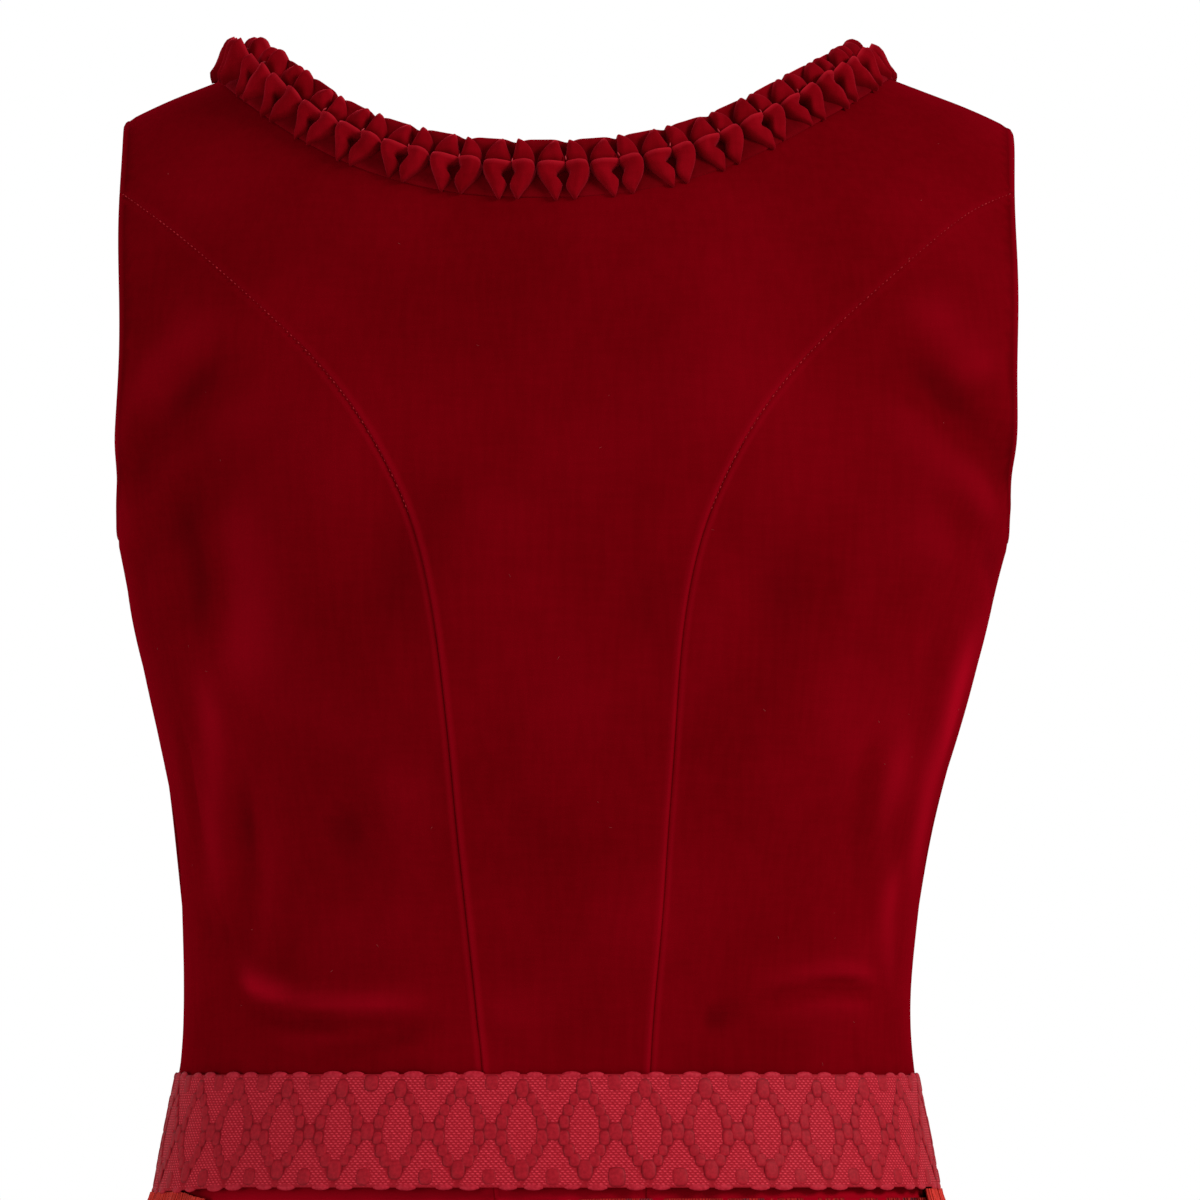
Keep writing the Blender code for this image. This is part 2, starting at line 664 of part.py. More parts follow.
def make_material(name, colour, roughness):
    """A plain cloth material."""
    material = bpy.data.materials.new(name)
    material.use_nodes = True
    shader = material.node_tree.nodes["Principled BSDF"]
    shader.inputs["Base Color"].default_value = colour
    shader.inputs["Roughness"].default_value = roughness
    shader.inputs["Metallic"].default_value = 0.0
    return material


def build_panel(name, outline, material):
    """One bodice panel: its outline filled on the form and given its wall."""
    places = np.concatenate([outline, inside_places(outline, PANEL_STEP)])
    rim = list(range(len(outline)))
    edges = [(i, (i + 1) % len(outline)) for i in rim]
    flat = [tuple(place) for place in flat_places(places)]
    corners, _, faces, origins, _, _ = delaunay_2d_cdt(flat, edges, [], 1, MERGE_BELOW)
    order = [origin[0] for origin in origins]
    faces = [tuple(order[corner] for corner in face) for face in faces]
    outer, normals, _, _ = surface_frame(form_point, places[:, 0], places[:, 1])
    outer[rim] = pull_in_edge(outer[rim], normals[rim], SEAM_GAP / 2.0)
    inner = outer - normals * BODICE_WALL
    return add_piece(name, *close_wall(outer, inner, faces, [rim]), material)


def grid_faces(columns, rows, wrapped):
    """Faces of a grid of points stored row by row, and the loops of its rim."""
    faces = []
    spans = columns if wrapped else columns - 1
    for row in range(rows - 1):
        for column in range(spans):
            beside = (column + 1) % columns
            low = row * columns
            high = low + columns
            faces.append((low + column, low + beside, high + beside, high + column))
    bottom = list(range(columns))
    top = [(rows - 1) * columns + column for column in range(columns)]
    if wrapped:
        return faces, [bottom, top[::-1]]
    right = [row * columns + columns - 1 for row in range(1, rows - 1)]
    left = [row * columns for row in range(rows - 2, 0, -1)]
    return faces, [bottom + right + top[::-1] + left]


# The neck trim

def trim_frames():
    """Pattern places of the trim's columns round the neck, counted from the centre back, which lies midway
    between two knots, the pattern step at each that is one metre away from the neckline, and the number
    of motifs."""
    stations = chord_stations(form_point(NECK_LOOP[:, 0], NECK_LOOP[:, 1]))
    length = stations[-1]
    motifs = round(length / TRIM_PITCH)
    shares = [(motif + FIRST_KNOT + column.across) / motifs
              for motif in range(motifs) for column in TRIM_COLUMNS]
    wanted = np.array(shares) % 1.0 * length
    path = np.stack([np.interp(wanted, stations, NECK_LOOP[:, k]) for k in (0, 1)], axis=-1)
    sideways = (stepped_across(NECK_LOOP, SMALL_STEP) - NECK_LOOP) / SMALL_STEP
    side = np.stack([np.interp(wanted, stations, sideways[:, k]) for k in (0, 1)], axis=-1)
    return path, side, motifs


def build_trim(material):
    """The frog-mouth strip round the neck: raised petals and knots over a plain inside."""
    path, side, motifs = trim_frames()
    columns = list(TRIM_COLUMNS) * motifs
    notch = np.array([column.notch for column in columns])
    outer = []
    inner = []
    for row in TRIM_ROWS:
        reach = row.up * TRIM_HALF_HEIGHT
        edge = -math.copysign(1.0, row.up) * row.edge * (TRIM_NOTCH * notch - TRIM_TIP * (1.0 - notch))
        across = -(reach + edge)
        places = path + side * across[:, None]
        base, normals, _, _ = surface_frame(form_point, places[:, 0], places[:, 1])
        petal = np.array([column.petal for column in columns]) * row.petal
        knot = np.array([column.knot for column in columns]) * row.knot
        rise = TRIM_WALL + TRIM_PETAL_RISE * petal + TRIM_KNOT_RISE * knot
        outer.append(base + normals * (SEAM_GAP + rise)[:, None])
        if row.edge > 0.0:
            inner.append(base + normals * SEAM_GAP)
    count = len(columns)
    outside, outer_rim = grid_faces(count, len(outer), True)
    inside, inner_rim = grid_faces(count, len(inner), True)
    first_inner = count * len(outer)
    faces = outside + [tuple(corner + first_inner for corner in reversed(face)) for face in inside]
    for loop, match in zip(outer_rim, inner_rim):
        for column in range(count):
            beside = (column + 1) % count
            faces.append((loop[beside], loop[column],
                          match[column] + first_inner, match[beside] + first_inner))
    corners = [tuple(point) for point in np.concatenate(outer + inner)]
    return add_piece("neck_trim", corners, faces, material)


# Skirt and apron

SKIRT_SECTIONS = Spline([row.drop for row in SKIRT], SKIRT)
BAND_BOTTOM = BAND_TOP - BAND_WIDTH


def skirt_row(drop):
    """The skirt's section at a drop, or at each of an array of drops."""
    return SkirtRow(*np.moveaxis(SKIRT_SECTIONS.at(drop), -1, 0))


def fold_phase(turn, folds):
    """The running count of folds at a turn, evened round the oval and wandering a little."""
    even = turn + FOLD_EVENING * np.sin(2.0 * turn)
    wander = sum(wave.share * np.sin(wave.per_round * turn + wave.start) for wave in FOLD_WANDER)
    return folds * even / (2.0 * math.pi) + wander


def turn_at_phase(phase, folds):
    """The turn at which the running count of folds has a value."""
    turn = np.asarray(phase, float) * 2.0 * math.pi / folds
    for _ in range(FOLD_SEARCHES):
        turn = turn + (phase - fold_phase(turn, folds)) * 2.0 * math.pi / folds * SEARCH_SHARE
    return turn


def fold_share(turn, folds):
    """How deep the folds are at a turn, as a share of the deepest."""
    quick = QUICK_SWELL.share * np.sin(folds * turn / FOLDS_PER_SWELL + QUICK_SWELL.start)
    slow = SLOW_SWELL.share * np.sin(SLOW_SWELL.per_round * turn + SLOW_SWELL.start)
    return 1.0 - FOLD_UNEVEN * (1.0 + quick + slow)


def fold_wave(phase):
    """The height of a fold, from -1 in its trough to 1 on its rounder crest."""
    angle = 2.0 * math.pi * phase
    return np.cos(angle) - FOLD_CREST * np.cos(2.0 * angle) + FOLD_CREST


def skirt_base(turn, drop, clear=0.0):
    """The smooth form that the skirt's folds play about, moved out by a clearance: x, y and the way out."""
    row = skirt_row(drop)
    half_width = row.half_width + clear
    across = np.cos(turn)
    along = np.sin(turn)
    depth = np.where(along >= 0.0, row.back_depth, row.front_depth) + clear
    power = SKIRT_SQUARENESS
    reach = (np.abs(across) ** power + np.abs(along) ** power) ** (-1.0 / power)
    out_x = np.sign(across) * np.abs(across) ** (power - 1.0) / half_width
    out_y = np.sign(along) * np.abs(along) ** (power - 1.0) / depth
    size = np.sqrt(out_x ** 2 + out_y ** 2)
    return half_width * reach * across + SKIRT_SHIFT, depth * reach * along, out_x / size, out_y / size


def skirt_place(turn, drop):
    """A point of the skirt's outer face."""
    x, y, out_x, out_y = skirt_base(turn, drop)
    fold = skirt_row(drop).skirt_fold * fold_share(turn, SKIRT_FOLDS) * fold_wave(fold_phase(turn, SKIRT_FOLDS))
    return np.stack([x + out_x * fold, y + out_y * fold, BODICE_BOTTOM - SEAM_GAP - drop], axis=-1)


def apron_place(turn, drop):
    """A point of the apron's outer face."""
    row = skirt_row(drop)
    x, y, out_x, out_y = skirt_base(turn, drop, row.apron_clear)
    wave = fold_wave(fold_phase(turn, APRON_RING_FOLDS))
    fold = row.apron_fold * fold_share(turn, APRON_RING_FOLDS) * wave
    return np.stack([x + out_x * fold, y + out_y * fold, BODICE_BOTTOM - SEAM_GAP - drop], axis=-1)


def hung_strip(name, place, turns, drops, wall, material):
    """A gathered length of cloth: a grid of points with folds, and its wall."""
    turn, drop = np.meshgrid(turns, drops)
    outer, inward, _, _ = surface_frame(place, turn, drop, FOLD_STEP, FOLD_STEP)
    outer = outer.reshape(-1, 3)
    inner = outer + inward.reshape(-1, 3) * wall
    faces, rim = grid_faces(len(turns), len(drops), False)
    return add_piece(name, *close_wall(outer, inner, faces, rim), material)


def fold_turns(first, last, folds):
    """Turns from one edge to the other, six columns for each fold."""
    start = fold_phase(np.array(first), folds)
    end = fold_phase(np.array(last), folds)
    count = round(abs(float(end - start)) * FOLD_COLUMNS)
    turns = turn_at_phase(np.linspace(float(start), float(end), count + 1), folds)
    turns[0] = first
    turns[-1] = last
    return turns


def build_skirt(material):
    """The back and front skirt panels, a seam's gap apart at the sides."""
    drops = [level * SKIRT_LENGTH for level in SKIRT_LEVELS]
    gap = SEAM_GAP / 2.0 / SKIRT[1].back_depth
    hung_strip("skirt_back", skirt_place, fold_turns(gap, math.pi - gap, SKIRT_FOLDS),
               drops, SKIRT_WALL, material)
    hung_strip("skirt_front", skirt_place, fold_turns(-math.pi + gap, -gap, SKIRT_FOLDS),
               drops, SKIRT_WALL, material)


def build_apron(material):
    """The apron, gathered from just under the ribbon's lower edge."""
    top = BODICE_BOTTOM - BAND_BOTTOM
    drops = [top + level * APRON_LENGTH for level in SKIRT_LEVELS]
    turns = fold_turns(APRON_RIGHT, APRON_LEFT, APRON_RING_FOLDS)
    hung_strip("apron", apron_place, turns, drops, APRON_WALL, material)


# The waistband

def band_inner(turn, height):
    """The inner face of the ribbon at a height, before its overlap is lifted."""
    rise = rise_at_height(height)
    point, normal, _, _ = surface_frame(form_point, turn, np.full_like(turn, rise))
    share = (BAND_TOP - height) / BAND_WIDTH
    stand_off = BAND_STAND_OFF_TOP + (BAND_STAND_OFF_BOTTOM - BAND_STAND_OFF_TOP) * share
    point = point + normal * stand_off
    point[:, 2] = height
    normal[:, 2] = 0.0
    return point, normal / np.linalg.norm(normal, axis=1, keepdims=True)


def build_band(material):
    """The ribbon: once round the waist, with its end lying over its start."""
    overlap = BAND_OVERLAP / BAND_RADIUS
    ramp = BAND_OVERLAP_RAMP / BAND_RADIUS
    turns = np.linspace(BAND_START, BAND_START + 2.0 * math.pi + overlap, BAND_COLUMNS)
    into = np.clip((turns - (BAND_START + 2.0 * math.pi - ramp)) / ramp, 0.0, 1.0)
    lift = (BAND_WALL + SEAM_GAP) * into * into * (3.0 - 2.0 * into)
    outer = []
    inner = []
    for height in np.linspace(BAND_BOTTOM, BAND_TOP, BAND_ROWS):
        point, normal = band_inner(turns, height)
        inner.append(point + normal * lift[:, None])
        outer.append(point + normal * (lift + BAND_WALL)[:, None])
    faces, rim = grid_faces(BAND_COLUMNS, BAND_ROWS, False)
    walls = close_wall(np.concatenate(outer), np.concatenate(inner), faces, rim)
    return add_piece("waist_ribbon", *walls, material)


def clear_scene():
    """Remove every object that is in the scene."""
    for thing in list(bpy.data.objects):
        bpy.data.objects.remove(thing, do_unlink=True)


def main():
    """Build every piece of the dirndl."""
    clear_scene()
    velvet = make_material("velvet", VELVET, 0.85)
    trim_velvet = make_material("trim_velvet", TRIM_VELVET, 0.80)
    ribbon = make_material("ribbon", RIBBON, 0.60)
    skirt_cloth = make_material("skirt_cloth", SKIRT_CLOTH, 0.60)
    apron_silk = make_material("apron_silk", APRON_SILK, 0.45)
    for name, outline in panel_outlines(bodice_lines()).items():
        build_panel(name, outline, velvet)
    build_trim(trim_velvet)
    build_band(ribbon)
    build_skirt(skirt_cloth)
    build_apron(apron_silk)


main()
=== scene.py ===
"""Looks of a dirndl, worn and seen from behind.

Velvet bodice with princess seams, frog-mouth neck trim, woven ribbon waistband, gathered skirt and apron.
Metres, +Z up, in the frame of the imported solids. The wearer faces -Y and has the left side at +X.
"""
import logging
import math
from dataclasses import dataclass, field
from enum import Enum
from typing import Callable, NamedTuple, Optional, Sequence

import bmesh
import bpy
import numpy as np
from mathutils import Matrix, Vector
from mathutils.geometry import delaunay_2d_cdt


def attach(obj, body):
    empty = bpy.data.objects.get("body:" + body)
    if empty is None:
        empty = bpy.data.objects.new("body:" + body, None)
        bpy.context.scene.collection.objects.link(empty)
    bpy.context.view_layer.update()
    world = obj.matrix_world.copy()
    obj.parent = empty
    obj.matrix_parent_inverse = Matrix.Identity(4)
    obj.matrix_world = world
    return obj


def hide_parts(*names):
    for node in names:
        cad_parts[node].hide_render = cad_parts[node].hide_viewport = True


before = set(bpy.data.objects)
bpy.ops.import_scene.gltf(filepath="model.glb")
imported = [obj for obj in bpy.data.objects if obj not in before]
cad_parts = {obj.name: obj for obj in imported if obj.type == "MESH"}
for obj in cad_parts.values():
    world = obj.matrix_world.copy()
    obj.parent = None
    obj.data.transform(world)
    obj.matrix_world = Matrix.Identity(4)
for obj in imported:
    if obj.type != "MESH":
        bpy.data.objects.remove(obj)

LOG = logging.getLogger("dirndl")
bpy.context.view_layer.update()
BODY = "root"
SEED = 20

Array = np.ndarray
Place = Callable[[Array, Array], Array]
Faces = Sequence[tuple[int, ...]]
Marks = dict[str, Array]
Colour = tuple[float, float, float, float]
Point = tuple[float, float, float]
Material = bpy.types.Material
Piece = bpy.types.Object
Socket = bpy.types.NodeSocket

# Tenths of a millimetre in a metre, a whole turn, and what several finishes and cloths share
TENTHS = 10000.0
TURN = 2.0 * math.pi
CLOTH_SHEEN_ROUGHNESS = 0.4
GATHER_RIDGE = 0.0009
GATHER_STRENGTH = 0.9
APRON_FOLDS = 26.0
SEAM_GAP = 0.0003


class Side(Enum):
    """The wearer's sides, as the sign of x."""

    LEFT = 1
    RIGHT = -1


class Face(Enum):
    """Which face of a closed cloth wall a material goes on, as its material index."""

    OUTSIDE = 0
    INSIDE = 1


class FormRow(NamedTuple):
    """A level section of the filled-out torso."""

    height: float
    half_width: float
    back_depth: float
    front_depth: float
    squareness: float
    slope_share: float
    side_shift: float


class SeamRow(NamedTuple):
    """A place of a pair of princess seams."""

    height: float
    half_spacing: float


class NeckRow(NamedTuple):
    """A place of the neck trim's middle line."""

    half_spacing: float
    height: float
    centre_shift: float


class SkirtRow(NamedTuple):
    """A level section of the skirt, and how deep its folds and the apron's are there."""

    drop: float
    half_width: float
    back_depth: float
    front_depth: float
    skirt_fold: float
    apron_fold: float
    apron_clear: float


class Wave(NamedTuple):
    """A slow swell round the skirt."""

    per_round: float
    share: float
    start: float


class PetalRow(NamedTuple):
    """A level of a petal of the neck trim, in metres from its knot: up, and its two edges across."""

    up: float
    outer: float
    inner: float


class PetalForm(NamedTuple):
    """How a petal swells: its height, its share of that at its ends, and the form of its sides."""

    rise: float
    root: float
    root_length: float
    tip_from: float
    tip: float
    crest: float
    fall: float
    blunt: float


class StripRow(NamedTuple):
    """A level of the trim's strip behind the petals: up, its lift, and how much the crease takes off it."""

    up: float
    lift: float
    crease: float


class Pad(NamedTuple):
    """A woven pad of the ribbon: its place in the repeat and its size, in metres."""

    across: float
    up: float
    width: float
    height: float


class CreaseLine(NamedTuple):
    """A soft crease, or a streak of painted highlight, along a curve in flat pattern metres."""

    width: float
    depth: float
    lip: float
    path: Array


# Maths


class Spline:
    """A smooth curve through rows of numbers at rising stations, with a continuous second derivative."""

    def __init__(self, stations: Sequence[float], rows: Sequence[Sequence[float]]) -> None:
        """Solve the curve.

        Args:
            stations: Rising places along the curve.
            rows: The numbers at each station.
        """
        self.stations = np.asarray(stations, float)
        self.rows = np.asarray(rows, float)
        steps = np.diff(self.stations)
        count = len(self.stations)
        system = np.eye(count)
        right = np.zeros((count, self.rows.shape[1]))
        for i in range(1, count - 1):
            system[i, i - 1] = steps[i - 1]
            system[i, i] = 2.0 * (steps[i - 1] + steps[i])
            system[i, i + 1] = steps[i]
            rise_after = (self.rows[i + 1] - self.rows[i]) / steps[i]
            rise_before = (self.rows[i] - self.rows[i - 1]) / steps[i - 1]
            right[i] = 6.0 * (rise_after - rise_before)
        self.bends = np.linalg.solve(system, right)

    def at(self, station: Array) -> Array:
        """The row of numbers at each station.

        Args:
            station: Any array of places along the curve.

        Returns:
            The numbers, with the last axis running over the columns.
        """
        station = np.asarray(station, float)
        span = np.clip(np.searchsorted(self.stations, station) - 1, 0, len(self.stations) - 2)
        low = self.stations[span]
        high = self.stations[span + 1]
        width = (high - low)[..., None]
        after = ((station - low)[..., None]) / width
        before = 1.0 - after
        curve = (before ** 3 - before) * self.bends[span] + (after ** 3 - after) * self.bends[span + 1]
        return before * self.rows[span] + after * self.rows[span + 1] + curve * width ** 2 / 6.0


def chord_stations(points: Array) -> Array:
    """Running distances along a list of points."""
    steps = np.linalg.norm(np.diff(np.asarray(points, float), axis=0), axis=1)
    return np.concatenate(([0.0], np.cumsum(steps)))


def bell(distance: Array, width: float) -> Array:
    """A smooth bump of height 1 at distance 0."""
    return np.exp(-(distance / width) ** 2)


def bounded(share: Array) -> Array:
    """A share kept between 0 and 1."""
    return np.clip(share, 0.0, 1.0)


def eased(share: Array) -> Array:
    """A share kept between 0 and 1, with soft ends."""
    share = bounded(share)
    return share * share * (3.0 - 2.0 * share)


def halved(is_low: Callable[[float], bool], low: float, high: float, halvings: int = 46) -> float:
    """The value between two bounds at which a test turns from true to false.

    Args:
        is_low: The test.
        low: A value that passes it.
        high: A value that fails it.
        halvings: How many times the bounds are halved.

    Returns:
        The value found.
    """
    for _ in range(halvings):
        middle = (low + high) / 2.0
        if is_low(middle):
            low = middle
        else:
            high = middle
    return (low + high) / 2.0


def in_tenths(kind: type, rows: Faces) -> tuple:
    """Rows of a kind from whole tenths of a millimetre."""
    return tuple(kind(*(number / TENTHS for number in row)) for row in rows)


def unit(vectors: Array) -> Array:
    """Vectors brought to length 1."""
    return vectors / np.linalg.norm(vectors, axis=-1, keepdims=True)


def dots(first: Array, second: Array) -> Array:
    """The products of matching rows."""
    return np.einsum("ij,ij->i", first, second)


def along_spans(spots: Array, starts: Array, spans: Array) -> Array:
    """The share of each span at which it comes nearest to each spot."""
    along = np.einsum("psk,sk->ps", spots[:, None] - starts, spans) / np.sum(spans ** 2, axis=1)
    return bounded(along)


def oval(turn: Array, power: Array) -> tuple[Array, Array, Array]:
    """The cosine and sine of a turn, and how far a squared oval of half size 1 reaches there."""
    across = np.cos(turn)
    along = np.sin(turn)
    return across, along, (np.abs(across) ** power + np.abs(along) ** power) ** (-1.0 / power)


def pairs(first: Array, second: Array) -> Array:
    """A list of places from two grids of numbers."""
    return np.stack([first, second], axis=-1).reshape(-1, 2)


def dipped(turn: Array) -> Array:
    """How far the waist's lower edge dips, from 0 at the back to 1 at the front and the wearer's left."""
    return eased((np.cos(turn + 0.9) + 0.1) / 0.5)


def surface_frame(place: Place, turn: Array, rise: Array, turn_step: float = 2e-4,
                  rise_step: float = 3e-5) -> tuple[Array, Array, Array, Array]:
    """Points of a surface with their normals and derivatives.

    Args:
        place: The surface, as a function of turn and rise.
        turn: The turns.
        rise: The rises.
        turn_step: The step for the derivative by turn.
        rise_step: The step for the derivative by rise.

    Returns:
        Points, outward unit normals, and the derivatives by turn and by rise.
    """
    point = place(turn, rise)
    by_turn = (place(turn + turn_step, rise) - place(turn - turn_step, rise)) / (2.0 * turn_step)
    by_rise = (place(turn, rise + rise_step) - place(turn, rise - rise_step)) / (2.0 * rise_step)
    return point, unit(np.cross(by_turn, by_rise)), by_turn, by_rise


# Meshes


@dataclass
class Cloth:
    """Corners, faces and what goes with them, gathered before they become one mesh."""

    corners: list[Array] = field(default_factory=list)
    faces: list[tuple[int, ...]] = field(default_factory=list)
    slots: list[int] = field(default_factory=list)
    uvs: list[Array] = field(default_factory=list)
    marks: list[Marks] = field(default_factory=list)
    count: int = 0

    def add(self, corners: Array, faces: Faces, slot: int = 0,
            uv: Optional[Array] = None, marks: Optional[Marks] = None) -> int:
        """Add a patch.

        Args:
            corners: The patch's points.
            faces: Its faces, as indexes into its own points.
            slot: The material index of its faces.
            uv: A cloth place for each point, if the finish needs one.
            marks: Shares from 0 to 1 for each point, by name, that the finish reads.

        Returns:
            The index of the patch's first point.
        """
        first = self.count
        self.corners.append(np.asarray(corners, float).reshape(-1, 3))
        self.faces.extend(tuple(corner + first for corner in face) for face in faces)
        self.slots.extend([slot] * len(faces))
        self.uvs.append(np.zeros((len(self.corners[-1]), 2)) if uv is None else np.asarray(uv, float))
        self.marks.append(marks or {})
        self.count += len(self.corners[-1])
        return first

    def join(self, faces: Faces, slot: int = 0) -> None:
        """Add faces between points that are already there."""
        self.faces.extend(faces)
        self.slots.extend([slot] * len(faces))

    def piece(self, name: str, materials: Sequence[Material], slot: str, sharp_above: float = 60.0,
              replaces: str = "") -> Piece:
        """Make the object.

        Args:
            name: The piece's name.
            materials: One material for each material index.
            slot: The record's slot for its material; not used.
            sharp_above: The angle in degrees past which an edge is shaded sharp.
            replaces: The solid that it stands for, if any.

        Returns:
            The new object, in the scene.
        """
        mesh = bpy.data.meshes.new(name)
        points = np.concatenate(self.corners)
        mesh.from_pydata(points.tolist(), [], self.faces)
        mesh.polygons.foreach_set("material_index", np.array(self.slots, np.int32))
        loops = np.zeros(len(mesh.loops), np.int32)
        mesh.loops.foreach_get("vertex_index", loops)
        layer = mesh.uv_layers.new(name="cloth")
        layer.data.foreach_set("uv", np.concatenate(self.uvs)[loops].astype(np.float32).ravel())
        shape = bmesh.new()
        shape.from_mesh(mesh)
        bmesh.ops.recalc_face_normals(shape, faces=shape.faces[:])
        shape.to_mesh(mesh)
        shape.free()
        for label in sorted({label for marks in self.marks for label in marks}):
            shares = [np.ravel(marks.get(label, np.zeros(len(part))))
                      for marks, part in zip(self.marks, self.corners)]
            layer = mesh.attributes.new(label, "FLOAT", "POINT")
            layer.data.foreach_set("value", np.concatenate(shares).astype(np.float32))
        for material in materials:
            mesh.materials.append(material)
        mesh.shade_smooth()
        mesh.set_sharp_from_angle(angle=math.radians(sharp_above))
        piece = bpy.data.objects.new(name, mesh)
        bpy.context.scene.collection.objects.link(piece)
        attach(piece, BODY)
        if replaces:
            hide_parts(replaces)
        LOG.info("%s: %d faces", name, len(mesh.polygons))
        return piece


def grid_faces(columns: int, rows: int, wrapped: bool = False) -> tuple[list, list]:
    """Faces of a grid of points stored row by row.

    Args:
        columns: Points in a row.
        rows: Number of rows.
        wrapped: Whether each row closes on itself.

    Returns:
        The faces and the closed loops of the grid's rim.
    """
    faces = []
    spans = columns if wrapped else columns - 1
    for row in range(rows - 1):
        low = row * columns
        for column in range(spans):
            beside = (column + 1) % columns
            faces.append((low + column, low + beside, low + columns + beside, low + columns + column))
    bottom = list(range(columns))
    top = [(rows - 1) * columns + column for column in range(columns)]
    if wrapped:
        return faces, [bottom, top[::-1]]
    right = [row * columns + columns - 1 for row in range(1, rows - 1)]
    left = [row * columns for row in range(rows - 2, 0, -1)]
    return faces, [bottom + right + top[::-1] + left]


def add_wall(cloth: Cloth, outer: Array, inner: Array, faces: Faces,
             rim: Sequence[Sequence[int]], uv: Optional[Array] = None,
             marks: Optional[Marks] = None) -> None:
    """Add a closed wall, with the outside and inside in their own materials.

    Args:
        cloth: What the wall is added to.
        outer: Points of the outside.
        inner: Matching points of the inside.
        faces: Faces of the outside.
        rim: Closed loops of outer points that the rim follows.
        uv: A cloth place for each point.
        marks: Shares for each point of the outside, by name.
    """
    first = cloth.add(outer, faces, Face.OUTSIDE.value, uv, marks)
    turned = [tuple(reversed(face)) for face in faces]
    second = cloth.add(inner, turned, Face.INSIDE.value, uv)
    for loop in rim:
        following = list(loop[1:]) + [loop[0]]
        cloth.join([(b + first, a + first, a + second, b + second) for a, b in zip(loop, following)],
                   Face.OUTSIDE.value)


def repeated(faces: Faces, points: int, count: int) -> list[tuple[int, ...]]:
    """The faces of a number of copies of a form that has so many points."""
    return [tuple(corner + copy * points for corner in face) for copy in range(count) for face in faces]


def copies(cloth: Cloth, form: tuple[Array, list], origins: Array, axes: Array) -> None:
    """Add many copies of a small form as one array.

    Args:
        cloth: What the copies are added to.
        form: The small form's points and faces.
        origins: Where each copy goes.
        axes: For each copy, the three scaled axes as rows.
    """
    points, faces = form
    placed = np.einsum("pk,ckj->cpj", points, axes) + origins[:, None, :]
    cloth.add(placed, repeated(faces, len(points), len(origins)))


def ball_form(around: int = 10, rings: int = 6) -> tuple[Array, list]:
    """A ball of radius 1 with its poles on the last axis: points and faces."""
    points = [(0.0, 0.0, -1.0)]
    for ring in range(1, rings):
        lift = -math.cos(math.pi * ring / rings)
        reach = math.sin(math.pi * ring / rings)
        for step in range(around):
            angle = TURN * step / around
            points.append((reach * math.cos(angle), reach * math.sin(angle), lift))
    points.append((0.0, 0.0, 1.0))
    last = len(points) - 1
    faces = []
    for step in range(around):
        beside = (step + 1) % around
        faces.append((0, 1 + beside, 1 + step))
        for ring in range(rings - 2):
            low = 1 + ring * around
            faces.append((low + step, low + beside, low + around + beside, low + around + step))
        low = 1 + (rings - 2) * around
        faces.append((low + step, low + beside, last))
    return np.array(points), faces


# The filled-out torso


